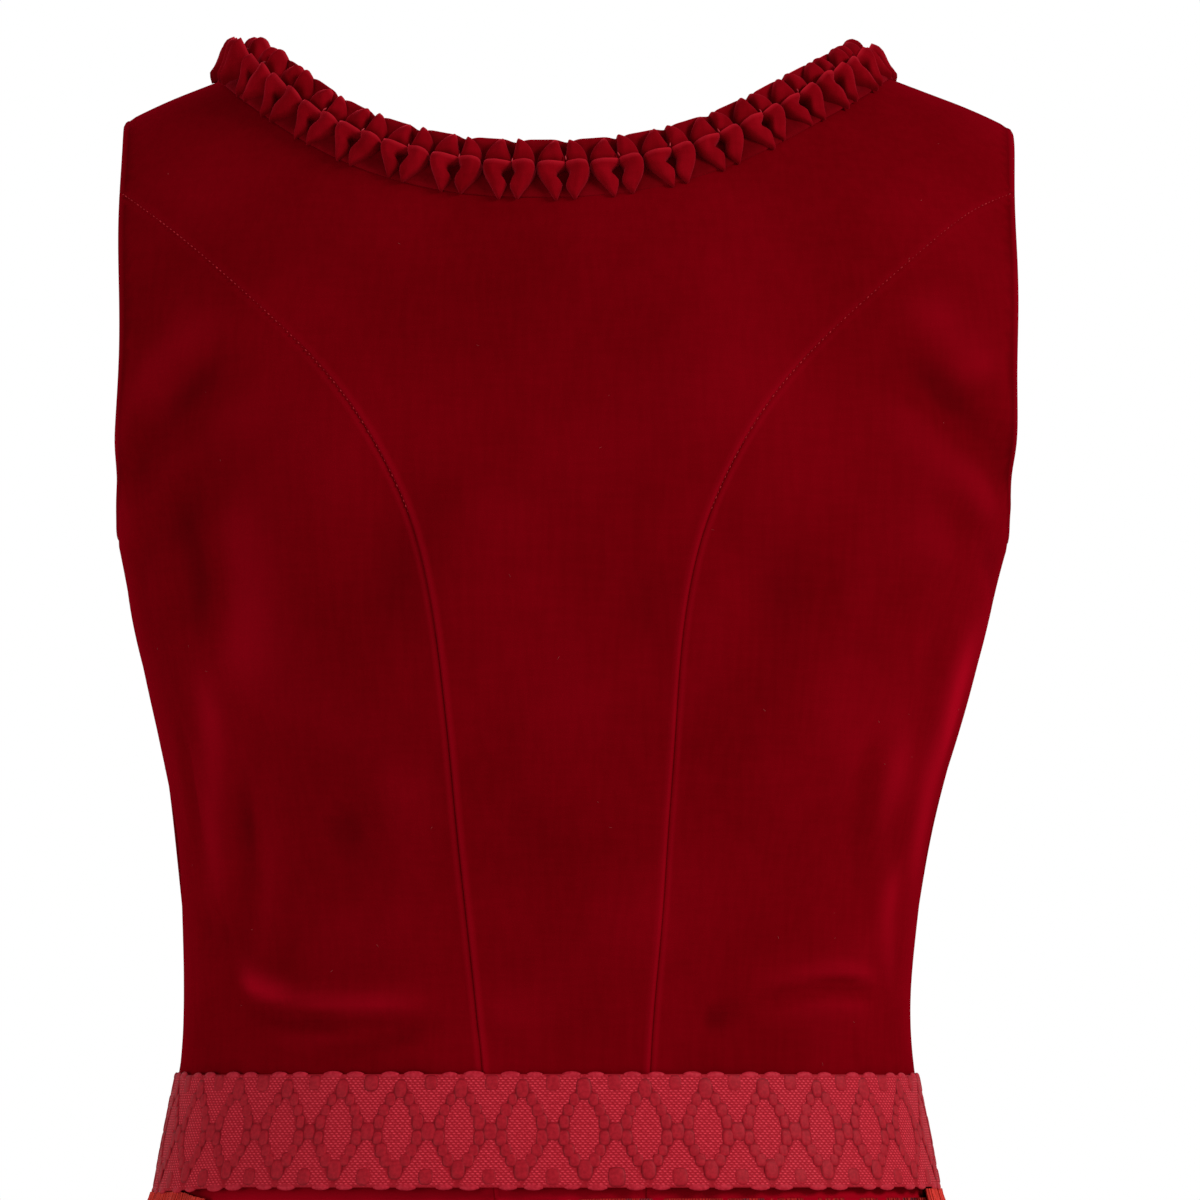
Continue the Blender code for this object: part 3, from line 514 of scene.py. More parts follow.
@dataclass
class Torso:
    """The form that every bodice piece lies on, by turn round the body and rise over the shoulders."""

    rows: tuple[FormRow, ...] = tuple(FormRow(*row) for row in (
        (-0.396, 0.1376, 0.0905, 0.0925, 2.15, 0.0, 0.0048),
        (-0.385, 0.1358, 0.0893, 0.0912, 2.15, 0.0, 0.0048),
        (-0.365, 0.133, 0.0878, 0.0902, 2.15, 0.0, 0.0047),
        (-0.345, 0.1302, 0.087, 0.09, 2.15, 0.0, 0.0046),
        (-0.318, 0.1283, 0.088, 0.092, 2.18, 0.0, 0.0044),
        (-0.289, 0.13, 0.092, 0.099, 2.2, 0.0, 0.0037),
        (-0.261, 0.1335, 0.0975, 0.108, 2.25, 0.0, 0.0025),
        (-0.232, 0.1393, 0.1025, 0.117, 2.3, 0.0, 0.0009),
        (-0.204, 0.146, 0.1055, 0.123, 2.35, 0.0, 0.0002),
        (-0.176, 0.153, 0.1065, 0.123, 2.4, 0.05, -0.0004),
        (-0.148, 0.1592, 0.1058, 0.117, 2.45, 0.15, -0.0016),
        (-0.12, 0.169, 0.103, 0.106, 2.5, 0.32, -0.0025),
        (-0.09, 0.18, 0.097, 0.091, 2.5, 0.55, -0.0028),
        (-0.057, 0.186, 0.084, 0.074, 2.5, 0.8, -0.0028),
        (-0.028, 0.188, 0.062, 0.0545, 2.5, 0.94, -0.0028),
        (-0.012, 0.188, 0.0415, 0.037, 2.5, 0.98, -0.0028),
        (-0.003, 0.188, 0.0205, 0.0185, 2.5, 1.0, -0.0028), (0.0, 0.188, 0.0, 0.0, 2.5, 1.0, -0.0028)))
    mirrored_rows: int = 5
    shoulder_slope: float = 0.405
    shoulder_tilt: float = 0.008
    shoulder_lift: float = 0.0012
    tip_droop: float = 0.0022
    tip_from: float = 0.135
    tip_to: float = 0.160
    slope_reference: float = 0.140
    slope_softening: float = 0.060
    cup_rise: float = 0.013
    cup_apart: float = 0.080
    cup_height: float = -0.202
    cup_width: float = 0.040
    cup_length: float = 0.046
    turn_to_metres: float = 0.135
    sections: Spline = field(init=False)
    ridge: float = field(init=False)

    def __post_init__(self) -> None:
        """Mirror the sections over the ridge, so that the arch closes smoothly."""
        rows = [list(row) for row in self.rows]
        stations = chord_stations([(row.height, row.back_depth) for row in self.rows])
        self.ridge = float(stations[-1])
        for i in range(1, self.mirrored_rows + 1):
            row = self.rows[-1 - i]
            rows.append(list(row._replace(back_depth=-row.back_depth, front_depth=-row.front_depth)))
        beyond = [2.0 * self.ridge - stations[-1 - i] for i in range(1, self.mirrored_rows + 1)]
        self.sections = Spline(list(stations) + beyond, rows)

    def row(self, rise: Array) -> FormRow:
        """The section at a rise, or at each of an array of rises."""
        return FormRow(*np.moveaxis(self.sections.at(rise), -1, 0))

    def soft_length(self, x: Array) -> Array:
        """The length |x| with a rounded turn at zero, for the slope of the shoulders."""
        return np.sqrt(np.asarray(x) ** 2 + self.slope_softening ** 2)

    def point(self, turn: Array, rise: Array) -> Array:
        """The place on the torso for pattern coordinates.

        Args:
            turn: Radians from the wearer's left side through the centre back.
            rise: Metres up the back and, past the ridge, down the front.

        Returns:
            Points, with the last axis running over x, y and z.
        """
        turn = np.asarray(turn, float)
        rise = np.asarray(rise, float)
        past = rise > self.ridge
        turn = np.where(past, -turn, turn)
        rise = np.where(past, 2.0 * self.ridge - rise, rise)
        row = self.row(rise)
        across, along, reach = oval(turn, row.squareness)
        x = row.half_width * reach * across
        y = np.where(along >= 0.0, row.back_depth, row.front_depth) * reach * along
        tip = np.maximum((np.abs(x) - self.tip_from) / (self.tip_to - self.tip_from), 0.0)
        slope = self.shoulder_slope * (self.soft_length(x) - self.soft_length(self.slope_reference))
        shear = self.shoulder_lift + self.shoulder_tilt * x - slope - self.tip_droop * tip ** 2
        z = row.height + row.slope_share * shear
        beside = (np.abs(x) - self.cup_apart) / self.cup_width
        above = (z - self.cup_height) / self.cup_length
        cup = np.exp(-(beside ** 2 + above ** 2) / 2.0)
        y = y - self.cup_rise * cup * np.minimum(along, 0.0) ** 2
        return np.stack([x + row.side_shift, y, z], axis=-1)

    def frame(self, places: Array) -> tuple[Array, Array, Array, Array]:
        """Points at pattern places, with their normals and derivatives."""
        return surface_frame(self.point, places[..., 0], places[..., 1])

    def turn_for(self, x: float, rise: float) -> float:
        """The turn at which the section of a rise has that x."""
        row = self.row(min(rise, 2.0 * self.ridge - rise))
        across = max(-1.0, min(1.0, (x - row.side_shift) / row.half_width))
        along = (1.0 - abs(across) ** row.squareness) ** (1.0 / row.squareness)
        return math.atan2(along, across)

    def place(self, x: float, height: float, on_back: bool = True) -> tuple[float, float]:
        """Pattern coordinates of the form's point with that x and height.

        Args:
            x: Where across.
            height: Where up.
            on_back: Whether the point lies on the back.

        Returns:
            The turn and the rise.
        """
        rise = halved(lambda trial: self.point(self.turn_for(x, trial), trial)[2] < height, 0.0, self.ridge)
        turn = self.turn_for(x, rise)
        return (turn, rise) if on_back else (turn, 2.0 * self.ridge - rise)

    def rise_at(self, height: float) -> float:
        """The rise at which the middle of the back has that height."""
        return self.place(float(self.row(0.0).side_shift), height)[1]

    def flat(self, places: Array) -> Array:
        """Pattern places in metres on both axes."""
        places = np.asarray(places, float)
        return np.stack([places[:, 0] * self.turn_to_metres, places[:, 1]], axis=-1)

    def smooth_path(self, places: Sequence[tuple[float, float]], count: int = 400) -> Array:
        """A dense smooth pattern curve through a few pattern places."""
        stations = chord_stations(self.flat(places))
        return Spline(stations, places).at(np.linspace(0.0, stations[-1], count))

    def evenly(self, path: Array, step: float) -> Array:
        """A pattern curve resampled at even real distances."""
        stations = chord_stations(self.point(path[:, 0], path[:, 1]))
        wanted = np.linspace(0.0, stations[-1], max(1, round(stations[-1] / step)) + 1)
        return np.stack([np.interp(wanted, stations, path[:, k]) for k in (0, 1)], axis=-1)

    def across(self, path: Array, tangent: Array) -> Array:
        """The pattern step at each place of a curve that is one metre to the curve's left.

        Args:
            path: Pattern places.
            tangent: The curve's direction at each, in pattern coordinates.

        Returns:
            Pattern steps for each metre.
        """
        _, normal, by_turn, by_rise = self.frame(path)
        side = np.cross(normal, unit(by_turn * tangent[:, :1] + by_rise * tangent[:, 1:]))
        a = dots(by_turn, by_turn)
        b = dots(by_turn, by_rise)
        c = dots(by_rise, by_rise)
        p = dots(side, by_turn)
        q = dots(side, by_rise)
        scale = a * c - b * b
        return np.stack([(c * p - b * q) / scale, (a * q - b * p) / scale], axis=-1)


# Creases


@dataclass
class Creases:
    """The bodice's main creases, placed one by one, as lifts of its cloth off the form.

    Each row holds a width, a depth and a lip, then x and z of each place, in tenths of a millimetre. A
    streak of painted highlight has ten-thousandths of its share in place of the depth.
    """

    torso: Torso
    back: tuple[tuple[int, ...], ...] = (
        # Drag lines from the armholes towards the shoulder blades
        (85, -29, 16, 1520, -1460, 1340, -1120, 1080, -860),
        (90, -17, 9, 1500, -1720, 1330, -1480, 1140, -1320),
        (85, -26, 16, -1590, -1460, -1400, -1120, -1150, -870),
        (80, -16, 9, -1560, -1760, -1420, -1500, -1260, -1330),
        # Troughs over the waistband
        (38, -21, 20, 1140, -3190, 960, -3240, 700, -3270, 400, -3225),
        (40, -20, 13, 900, -3375, 660, -3345, 360, -3250),
        (85, -23, 6, 1270, -2890, 1210, -2950, 1130, -2930),
        (56, 13, -4, 1160, -3040, 1090, -3110, 900, -3160),
        (60, -9, 5, 300, -3330, 100, -3360),
        (32, -21, 12, -600, -3215, -800, -3165, -960, -3135, -1130, -3185),
        (62, -16, 6, -480, -3270, -660, -3215),
        # Rumples down the side backs
        (50, -13, 7, 1330, -2150, 1285, -2480, 1250, -2700),
        (66, -17, 12, 1130, -2300, 1090, -2760, 1150, -3240),
        (120, -23, 14, 1370, -1400, 1260, -1700, 1290, -2050),
        (70, -15, 11, -1140, -2180, -1050, -2600, -1090, -2980),
        (90, -14, 9, -1380, -1750, -1290, -2150, -1310, -2500),
        # Shallow hollows in the nap beside the seams
        (130, -18, 8, 830, -2450, 720, -2680, 790, -2900),
        (130, -14, 5, -290, -1600, -300, -1950, -250, -2250),
        (120, -13, 5, 500, -1200, 560, -1600, 500, -2050),
        (130, -14, 5, -720, -1500, -780, -1950, -700, -2400),
    )
    front: tuple[tuple[int, ...], ...] = (
        # From the armholes to the cups, under the cups, and over the waistband
        (80, -25, 15, 1440, -1400, 1260, -1550, 1080, -1640),
        (85, -26, 16, -1490, -1360, -1300, -1520, -1120, -1600),
        (70, -16, 9, 1360, -1700, 1250, -1850, 1140, -1900),
        (70, -17, 11, -1370, -1780, -1240, -1900, -1150, -1930),
        (100, -20, 11, 1100, -2500, 880, -2560, 600, -2500),
        (95, -18, 11, -1060, -2540, -860, -2580, -620, -2520),
        (62, -20, 14, 700, -3080, 420, -3130, 160, -3070),
        (60, -20, 14, -200, -3210, -480, -3180, -800, -3250),
        (58, -18, 12, 1180, -3040, 980, -3180, 820, -3240),
        (56, -17, 12, -900, -3040, -1080, -3130, -1180, -3240),
        (110, -13, 5, 60, -1750, 50, -2100, 70, -2420),
        (68, -17, 11, 1230, -2200, 1190, -2600, 1220, -2960),
        (68, -17, 11, -1240, -2120, -1180, -2540, -1200, -2900),
    )
    painted_highlights: tuple[tuple[int, ...], ...] = (
        # Painted highlights with no crease under them: below the armholes, by the left side seam, along the
        # right rim
        (85, 4500, 0, -1220, -690, -1377, -855, -1500, -1060),
        (80, 3200, 0, 1150, -740, 1354, -950, 1465, -1170),
        (80, 7500, 0, 1270, -1950, 1215, -2300, 1220, -2600, 1180, -2870),
        (52, 4500, 0, 1150, -3010, 1060, -3120, 880, -3170),
        (135, 11000, 0, -1480, -1750, -1420, -2030, -1340, -2330, -1276, -2600, -1230, -2880),
        (68, 5500, 0, -1200, -2650, -1150, -2900, -1180, -3160),
    )
    lip_offset: float = 1.7
    lip_width: float = 1.25
    end_taper: float = 0.30
    swell: float = 0.0004
    path_places: int = 33
    folds: list[CreaseLine] = field(init=False)
    # The streaks of painted highlight
    streaks: list[CreaseLine] = field(init=False)

    def __post_init__(self) -> None:
        """Turn each row into a dense pattern curve."""
        self.folds = [self.line(row, rows is self.back) for rows in (self.back, self.front) for row in rows]
        self.streaks = [self.line(row, True) for row in self.painted_highlights]

    def line(self, row: tuple[int, ...], on_back: bool) -> CreaseLine:
        """A crease from its row.

        Args:
            row: Width, depth and lip, then x and z of each place, all in tenths of a millimetre.
            on_back: Whether it lies on the back.

        Returns:
            The crease.
        """
        width, depth, lip, *spots = (number / TENTHS for number in row)
        places = [self.torso.place(x, z, on_back) for x, z in zip(spots[::2], spots[1::2])]
        if len(places) == 2:
            places.insert(1, tuple((a + b) / 2.0 for a, b in zip(*places)))
        path = self.torso.smooth_path(places, self.path_places)
        return CreaseLine(width, depth, lip, self.torso.flat(path))

    def lift(self, places: Array) -> Array:
        """How far the cloth stands off the form at each pattern place."""
        flat = self.torso.flat(places)
        lift = self.swell * (np.sin(flat[:, 0] * 61.0 + 1.3 * np.sin(flat[:, 1] * 37.0))
                             + np.sin(flat[:, 1] * 74.0 + 0.8 + 1.1 * np.sin(flat[:, 0] * 43.0)))
        return self.add(flat, self.folds, lift)

    def nap(self, places: Array) -> Array:
        """The share of painted highlight from the streaks at each pattern place."""
        return self.add(self.torso.flat(places), self.streaks, np.zeros(len(places)))

    def add(self, flat: Array, lines: list[CreaseLine], lift: Array) -> Array:
        """Add lines to what is there.

        Args:
            flat: Pattern places in metres.
            lines: The creases or streaks.
            lift: The lift or share at each place.

        Returns:
            The sum at each place.
        """
        for line in lines:
            path = line.path
            reach = 6.0 * line.width
            near = np.all((flat > path.min(axis=0) - reach) & (flat < path.max(axis=0) + reach), axis=1)
            if not near.any():
                continue
            spots = flat[near]
            starts = path[:-1]
            spans = path[1:] - starts
            along = along_spans(spots, starts, spans)
            apart = spots[:, None] - (starts + spans * along[..., None])
            distance = np.linalg.norm(apart, axis=2)
            nearest = distance.argmin(axis=1)
            pick = np.arange(len(spots))
            offset = apart[pick, nearest]
            heading = spans[nearest]
            sign = np.sign(heading[:, 0] * offset[:, 1] - heading[:, 1] * offset[:, 0])
            signed = distance[pick, nearest] * sign
            share = (nearest + along[pick, nearest]) / len(spans)
            taper = eased(share / self.end_taper) * eased((1.0 - share) / self.end_taper)
            uneven = 1.0 + 0.25 * np.sin(share * 7.0 + line.width * 900.0)
            trough = line.depth * bell(signed, line.width)
            beside = self.lip_offset * line.width
            lip_width = self.lip_width * line.width
            lips = line.lip * (bell(signed - beside, lip_width) + 0.5 * bell(signed + beside, lip_width))
            lift[near] += (trough + lips) * taper * uneven
        return lift


# The bodice


@dataclass(frozen=True)
class EdgeShape:
    """How the cloth turns in towards a seam or a finished edge."""

    dip: float
    dip_width: float
    roll: float
    roll_at: float
    roll_width: float = 0.0006

    def lift(self, distance: Array) -> Array:
        """The lift at each distance from the edge."""
        dip = self.dip * bell(distance, self.dip_width)
        return self.roll * bell(distance - self.roll_at, self.roll_width) - dip


@dataclass
class Bodice:
    """Seven velvet panels cut on the torso, with their seams, rolled edges, stitches and lint."""

    torso: Torso
    creases: Creases
    bottom: float = -0.3892
    wall: float = 0.0016
    seam_overlap: float = 0.0001
    panel_step: float = 0.0034
    edge_step: float = 0.0026
    edge_rows: tuple[float, ...] = (0.0007, 0.0016, 0.0029)
    armhole_half: float = 0.1581
    armhole_front_scoop: float = 0.009
    underarm_below: float = -0.200
    underarm_above: float = -0.110
    shoulder_seam_back: float = 0.008
    back_rows: tuple[SeamRow, ...] = in_tenths(SeamRow, (
        (-3440, 290), (-3010, 328), (-2540, 370), (-2140, 404), (-1800, 446), (-1540, 510), (-1340, 594),
        (-1120, 724), (-880, 930), (-700, 1120), (-560, 1275), (-420, 1445)))
    back_end: float = -0.0335
    back_drift: float = -0.0026
    drift_from: float = -0.180
    drift_to: float = -0.344
    front_rows: tuple[SeamRow, ...] = in_tenths(SeamRow, (
        (-3400, 520), (-2900, 610), (-2450, 720), (-2050, 800), (-1650, 870), (-1300, 1030), (-1080, 1240)))
    front_end: float = -0.094
    neck_back_rows: tuple[NeckRow, ...] = in_tenths(NeckRow, (
        (0, -290, 61), (270, -275, 61), (450, -238, 60), (625, -176, 58), (775, -98, 52), (900, -18, 42),
        (1015, 62, 30)))
    neck_front_rows: tuple[NeckRow, ...] = in_tenths(NeckRow, (
        (1075, -80, 20), (1050, -380, 12), (980, -680, 6), (850, -980, 2), (630, -1240, 0),
        (330, -1400, 0), (0, -1450, 0)))
    neck_above_trim: float = 0.0072
    neck_lead: int = 3
    neck_places: int = 1600
    line_places: int = 400
    stitch_pitch: float = 0.00195
    stitch_length: float = 0.00125
    stitch_radius: float = 0.00030
    stitch_from: float = -0.150
    lint_count: int = 90
    lint_length: float = 0.0016
    lint_radius: float = 0.00006
    finished: EdgeShape = EdgeShape(dip=0.0009, dip_width=0.0010, roll=-0.00050, roll_at=0.0030)
    ridge_side: EdgeShape = EdgeShape(dip=0.0001, dip_width=0.0004, roll=0.00050, roll_at=0.0009)
    low_side: EdgeShape = EdgeShape(dip=0.0002, dip_width=0.0004, roll=0.00020, roll_at=0.0014)
    ridge_top: float = -0.066
    ridge_full: float = -0.140
    faint_share: float = 0.22
    # Painted highlight and painted shade: along the seams, on the creases and inside the finished edges
    shadow_width: float = 0.0007
    right_shadow: float = 0.3
    seam_glow: float = 0.75
    seam_glow_width: float = 0.0008
    low_glow: float = 0.6
    high_shade: float = 0.2
    low_shade: float = 0.45
    crease_shade: float = 1.5
    crease_deep: float = 0.0030
    crease_light: float = 0.55
    crease_high: float = 0.0018
    # Below this height the velvet is painted lighter, against the ribbon's shadow
    painted_highlight_below: float = -0.3836
    rim_glow: float = 0.45
    rim_glow_at: float = 0.0012
    rim_glow_width: float = 0.0009
    rim_shade: float = 0.8
    most_painted_highlight: float = 1.3
    stitch_sink: float = 0.00008
    spots: list[tuple[Array, Array]] = field(default_factory=list)
    lines: Marks = field(init=False)

    def __post_init__(self) -> None:
        """Draw the pattern's lines."""
        self.bottom_rise = self.torso.rise_at(self.bottom)
        self.front_bottom_rise = 2.0 * self.torso.ridge - self.bottom_rise
        self.shoulder_rise = self.torso.ridge - self.shoulder_seam_back
        low = self.torso.rise_at(self.underarm_below)
        high = self.torso.rise_at(self.underarm_above)
        self.underarm_rise = halved(
            lambda trial: self.torso.row(trial).half_width < self.armhole_half, low, high)
        self.neck_loop = self.draw_neck()
        tangent = np.gradient(self.neck_loop, axis=0)
        self.neck_side = self.torso.across(self.neck_loop, tangent)
        self.neck_edge = self.neck_loop - self.neck_side * self.neck_above_trim
        self.lines = self.draw_lines()

    def draw_neck(self) -> Array:
        """The closed middle line of the neck trim, from the centre back round by the left side."""
        left, right = (
            [self.torso.place(row.centre_shift + side.value * row.half_spacing, row.height, on_back)
             for rows, on_back in ((self.neck_back_rows, True), (self.neck_front_rows, False))
             for row in rows] for side in Side)
        ring = left + right[-2:0:-1]
        places = ring[-self.neck_lead:] + ring + ring[:self.neck_lead + 1]
        stations = chord_stations(self.torso.flat(places))
        ends = stations[self.neck_lead], stations[self.neck_lead + len(ring)]
        return Spline(stations, places).at(np.linspace(*ends, self.neck_places + 1))

    def armhole_x(self, side: Side, rise: float) -> float:
        """Where the armhole's edge lies at a rise, on the back below the ridge or on the front past it."""
        ridge = self.torso.ridge
        level = min(rise, 2.0 * ridge - rise)
        share = max(0.0, min(1.0, (level - self.underarm_rise) / (ridge - self.underarm_rise)))
        scoop = self.armhole_front_scoop * math.sin(math.pi * share) if rise > ridge else 0.0
        return side.value * (self.armhole_half - scoop) + float(self.torso.row(level).side_shift)

    def armhole_line(self, side: Side, start: float, end: float, from_underarm: bool = False) -> Array:
        """The armhole's edge between two rises.

        Args:
            side: Which armhole.
            start: The first rise.
            end: The last rise.
            from_underarm: Whether the line starts at the underarm, where it is made denser.

        Returns:
            Pattern places.
        """
        shares = np.linspace(0.0, 1.0, self.line_places)
        rises = start + (end - start) * (shares ** 2 if from_underarm else shares)
        path = [(self.torso.turn_for(self.armhole_x(side, rise), rise), rise) for rise in rises]
        if from_underarm:
            path[0] = (0.0 if side is Side.LEFT else math.pi, start)
        return np.array(path)

    def armhole_place(self, side: Side, height: float, on_back: bool) -> tuple[float, float]:
        """The pattern place on the armhole's edge at a height."""
        def place_at(level: float) -> tuple[float, float]:
            """The edge's pattern place at a level of the back."""
            rise = level if on_back else 2.0 * self.torso.ridge - level
            return self.torso.turn_for(self.armhole_x(side, rise), rise), rise

        return place_at(halved(lambda level: self.torso.point(*place_at(level))[2] < height,
                               self.underarm_rise, self.torso.ridge))

    def princess_seam(self, side: Side, on_back: bool) -> Array:
        """The curved seam from the waist's lower edge to the armhole."""
        places = []
        for row in self.back_rows if on_back else self.front_rows:
            if on_back:
                share = (self.drift_from - row.height) / (self.drift_from - self.drift_to)
                shift = self.back_drift * max(0.0, min(1.0, share))
            else:
                shift = float(self.torso.row(self.torso.rise_at(row.height)).side_shift)
            places.append(self.torso.place(side.value * row.half_spacing + shift, row.height, on_back))
        first = np.array(places[0])
        second = np.array(places[1])
        bottom = self.bottom_rise if on_back else self.front_bottom_rise
        places.insert(0, tuple(first - (second - first) * (first[1] - bottom) / (second[1] - first[1])))
        places.append(self.armhole_place(side, self.back_end if on_back else self.front_end, on_back))
        return self.torso.smooth_path(places)

    def neck_stretch(self, first: float, last: float) -> Array:
        """The neckline's edge between two shares of the loop."""
        count = len(self.neck_edge) - 1
        return self.neck_edge[np.arange(round(first * count), round(last * count) + 1) % count]

    def neck_at_shoulder(self, side: Side) -> float:
        """The share of the neck loop at which it crosses a shoulder seam."""
        count = len(self.neck_edge) - 1
        picks = range(0, count // 2) if side is Side.LEFT else range(count, count // 2, -1)
        return next((p / count for p in picks if self.neck_edge[p][1] >= self.shoulder_rise), 0.5)

    def draw_lines(self) -> Marks:
        """Every seam and edge line of the bodice, cut once so that neighbours share its points."""
        lines = {}

        def keep(label: str, path: Array) -> None:
            """Keep a line with its places evenly spread."""
            lines[label] = self.torso.evenly(path, self.edge_step)

        def straight(label: str, first: Sequence[float], last: Sequence[float]) -> None:
            """Keep a line that is straight on the pattern."""
            share = np.linspace(0.0, 1.0, self.line_places)[:, None]
            keep(label, np.asarray(first) * (1.0 - share) + np.asarray(last) * share)

        left_share = self.neck_at_shoulder(Side.LEFT)
        right_share = self.neck_at_shoulder(Side.RIGHT)
        keep("neck_back", np.concatenate([
            self.neck_stretch(right_share, 1.0)[:-1], self.neck_stretch(0.0, left_share)]))
        front_edge = self.neck_stretch(left_share, right_share)
        middle = int(np.argmin(np.abs(front_edge[:, 0] - math.pi / 2.0)))
        keep("neck_front_left", front_edge[:middle + 1])
        keep("neck_front_right", front_edge[middle:][::-1])
        front_underarm = 2.0 * self.torso.ridge - self.underarm_rise
        centre = (math.pi / 2.0, self.front_bottom_rise)
        for side in Side:
            name = side.name.lower()
            flank = 0.0 if side is Side.LEFT else math.pi
            back = self.princess_seam(side, True)
            front = self.princess_seam(side, False)
            shoulder = self.torso.turn_for(self.armhole_x(side, self.shoulder_rise), self.shoulder_rise)
            neck_corner = lines["neck_back"][-1 if side is Side.LEFT else 0]
            keep("back_seam_" + name, back)
            keep("front_seam_" + name, front)
            for where, underarm, end in (("back", self.underarm_rise, back[-1][1]),
                                         ("front", front_underarm, front[-1][1])):
                keep(f"armhole_{where}_low_{name}", self.armhole_line(side, underarm, end, True))
                keep(f"armhole_{where}_high_{name}", self.armhole_line(side, end, self.shoulder_rise))
            straight("shoulder_" + name, neck_corner, (shoulder, self.shoulder_rise))
            straight("side_back_" + name, (flank, self.bottom_rise), (flank, self.underarm_rise))
            straight("side_front_" + name, (flank, self.front_bottom_rise), (flank, front_underarm))
            straight("waist_side_back_" + name, (flank, self.bottom_rise), back[0])
            straight("waist_side_front_" + name, (flank, self.front_bottom_rise), front[0])
            straight("waist_centre_front_" + name, front[0], centre)
            straight("centre_front_" + name, centre, lines["neck_front_" + name][-1])
        straight("waist_back", lines["back_seam_left"][0], lines["back_seam_right"][0])
        return lines

    def outline(self, *steps: str) -> tuple[Array, Array]:
        """The outline of a panel from named lines, where a minus sign takes a line backwards.

        Args:
            steps: The lines' names in order.

        Returns:
            The outline's places, and for each whether it lies on a seam (else on a finished edge).
        """
        outline = []
        on_seam = []
        for step in steps:
            line = self.lines[step.lstrip("-")]
            line = line[::-1] if step.startswith("-") else line
            outline.extend(tuple(place) for place in line[:-1])
            finished = step.lstrip("-").startswith(("neck", "armhole", "waist"))
            on_seam.extend([not finished] * (len(line) - 1))
        outline = np.array(outline)
        on_seam = np.array(on_seam)
        turned = np.roll(outline, -1, axis=0)
        if np.sum(outline[:, 0] * turned[:, 1] - turned[:, 0] * outline[:, 1]) > 0.0:
            return outline, on_seam
        return outline[::-1], np.roll(on_seam[::-1], -1)

    def outlines(self) -> dict[str, tuple[Array, Array]]:
        """The seven panels' outlines by name."""
        panels = {"bodice_back_centre": self.outline(
            "waist_back", "back_seam_right", "armhole_back_high_right", "-shoulder_right",
            "neck_back", "shoulder_left", "-armhole_back_high_left", "-back_seam_left")}
        for name in ("left", "right"):
            for where in ("back", "front"):
                panels[f"bodice_{where}_side_{name}"] = self.outline(
                    f"waist_side_{where}_{name}", f"{where}_seam_{name}",
                    f"-armhole_{where}_low_{name}", f"-side_{where}_{name}")
            panels["bodice_front_centre_" + name] = self.outline(*(step + name for step in (
                "waist_centre_front_", "centre_front_", "-neck_front_", "shoulder_",
                "-armhole_front_high_", "-front_seam_")))
        return panels

    def inside(self, outline: Array, spots: Array, clear: Array) -> Array:
        """Which pattern places lie inside an outline and clear of its edge.

        Args:
            outline: The outline in flat metres.
            spots: The places in flat metres.
            clear: The least distance from the edge for each.

        Returns:
            True for each place to keep.
        """
        ends = np.roll(outline, -1, axis=0)
        spans = ends - outline
        nearest = outline + spans * along_spans(spots, outline, spans)[..., None]
        distance = np.linalg.norm(nearest - spots[:, None], axis=2).min(axis=1)
        u = spots[:, :1]
        v = spots[:, 1:]
        crossing = (outline[:, 1] > v) != (ends[:, 1] > v)
        with np.errstate(divide="ignore", invalid="ignore"):
            at_u = outline[:, 0] + (v - outline[:, 1]) * spans[:, 0] / spans[:, 1]
        odd = np.count_nonzero(crossing & (at_u > u), axis=1) % 2 == 1
        return odd & (distance > clear)

    def filling(self, outline: Array) -> Array:
        """Pattern places inside an outline: rows along its edge and a staggered grid."""
        tangent = np.roll(outline, -1, axis=0) - np.roll(outline, 1, axis=0)
        inward = self.torso.across(outline, tangent)
        flat = self.torso.flat(outline)
        spots = []
        clear = []
        for row in self.edge_rows:
            spots.append(self.torso.flat(outline + inward * row))
            clear.append(np.full(len(outline), 0.62 * row))
        low = flat.min(axis=0)
        high = flat.max(axis=0)
        row_step = self.panel_step * math.sqrt(3.0) / 2.0
        us = np.arange(low[0], high[0] + self.panel_step, self.panel_step)
        vs = np.arange(low[1] + row_step / 2.0, high[1], row_step)
        grid_u, grid_v = np.meshgrid(us, vs)
        grid_u = grid_u + (np.arange(len(vs)) % 2)[:, None] * self.panel_step / 2.0
        spots.append(np.stack([grid_u.ravel(), grid_v.ravel()], axis=-1))
        clear.append(np.full(grid_u.size, self.edge_rows[-1] + 0.5 * self.panel_step))
        spots = np.concatenate(spots)
        kept = spots[self.inside(flat, spots, np.concatenate(clear))]
        return kept / np.array([self.torso.turn_to_metres, 1.0])

    def edge_distance(self, points: Array, edge: Array, picks: Array) -> Array:
        """The real distance of each point from the picked stretches of an outline."""
        if not picks.any():
            return np.full(len(points), 1.0)
        starts = edge[picks]
        spans = np.roll(edge, -1, axis=0)[picks] - starts
        best = np.full(len(points), 1.0)
        for start, span in zip(starts, spans):
            along = bounded((points - start) @ span / (span @ span))
            apart = points - (start + along[:, None] * span)
            best = np.minimum(best, np.sqrt(dots(apart, apart)))
        return best

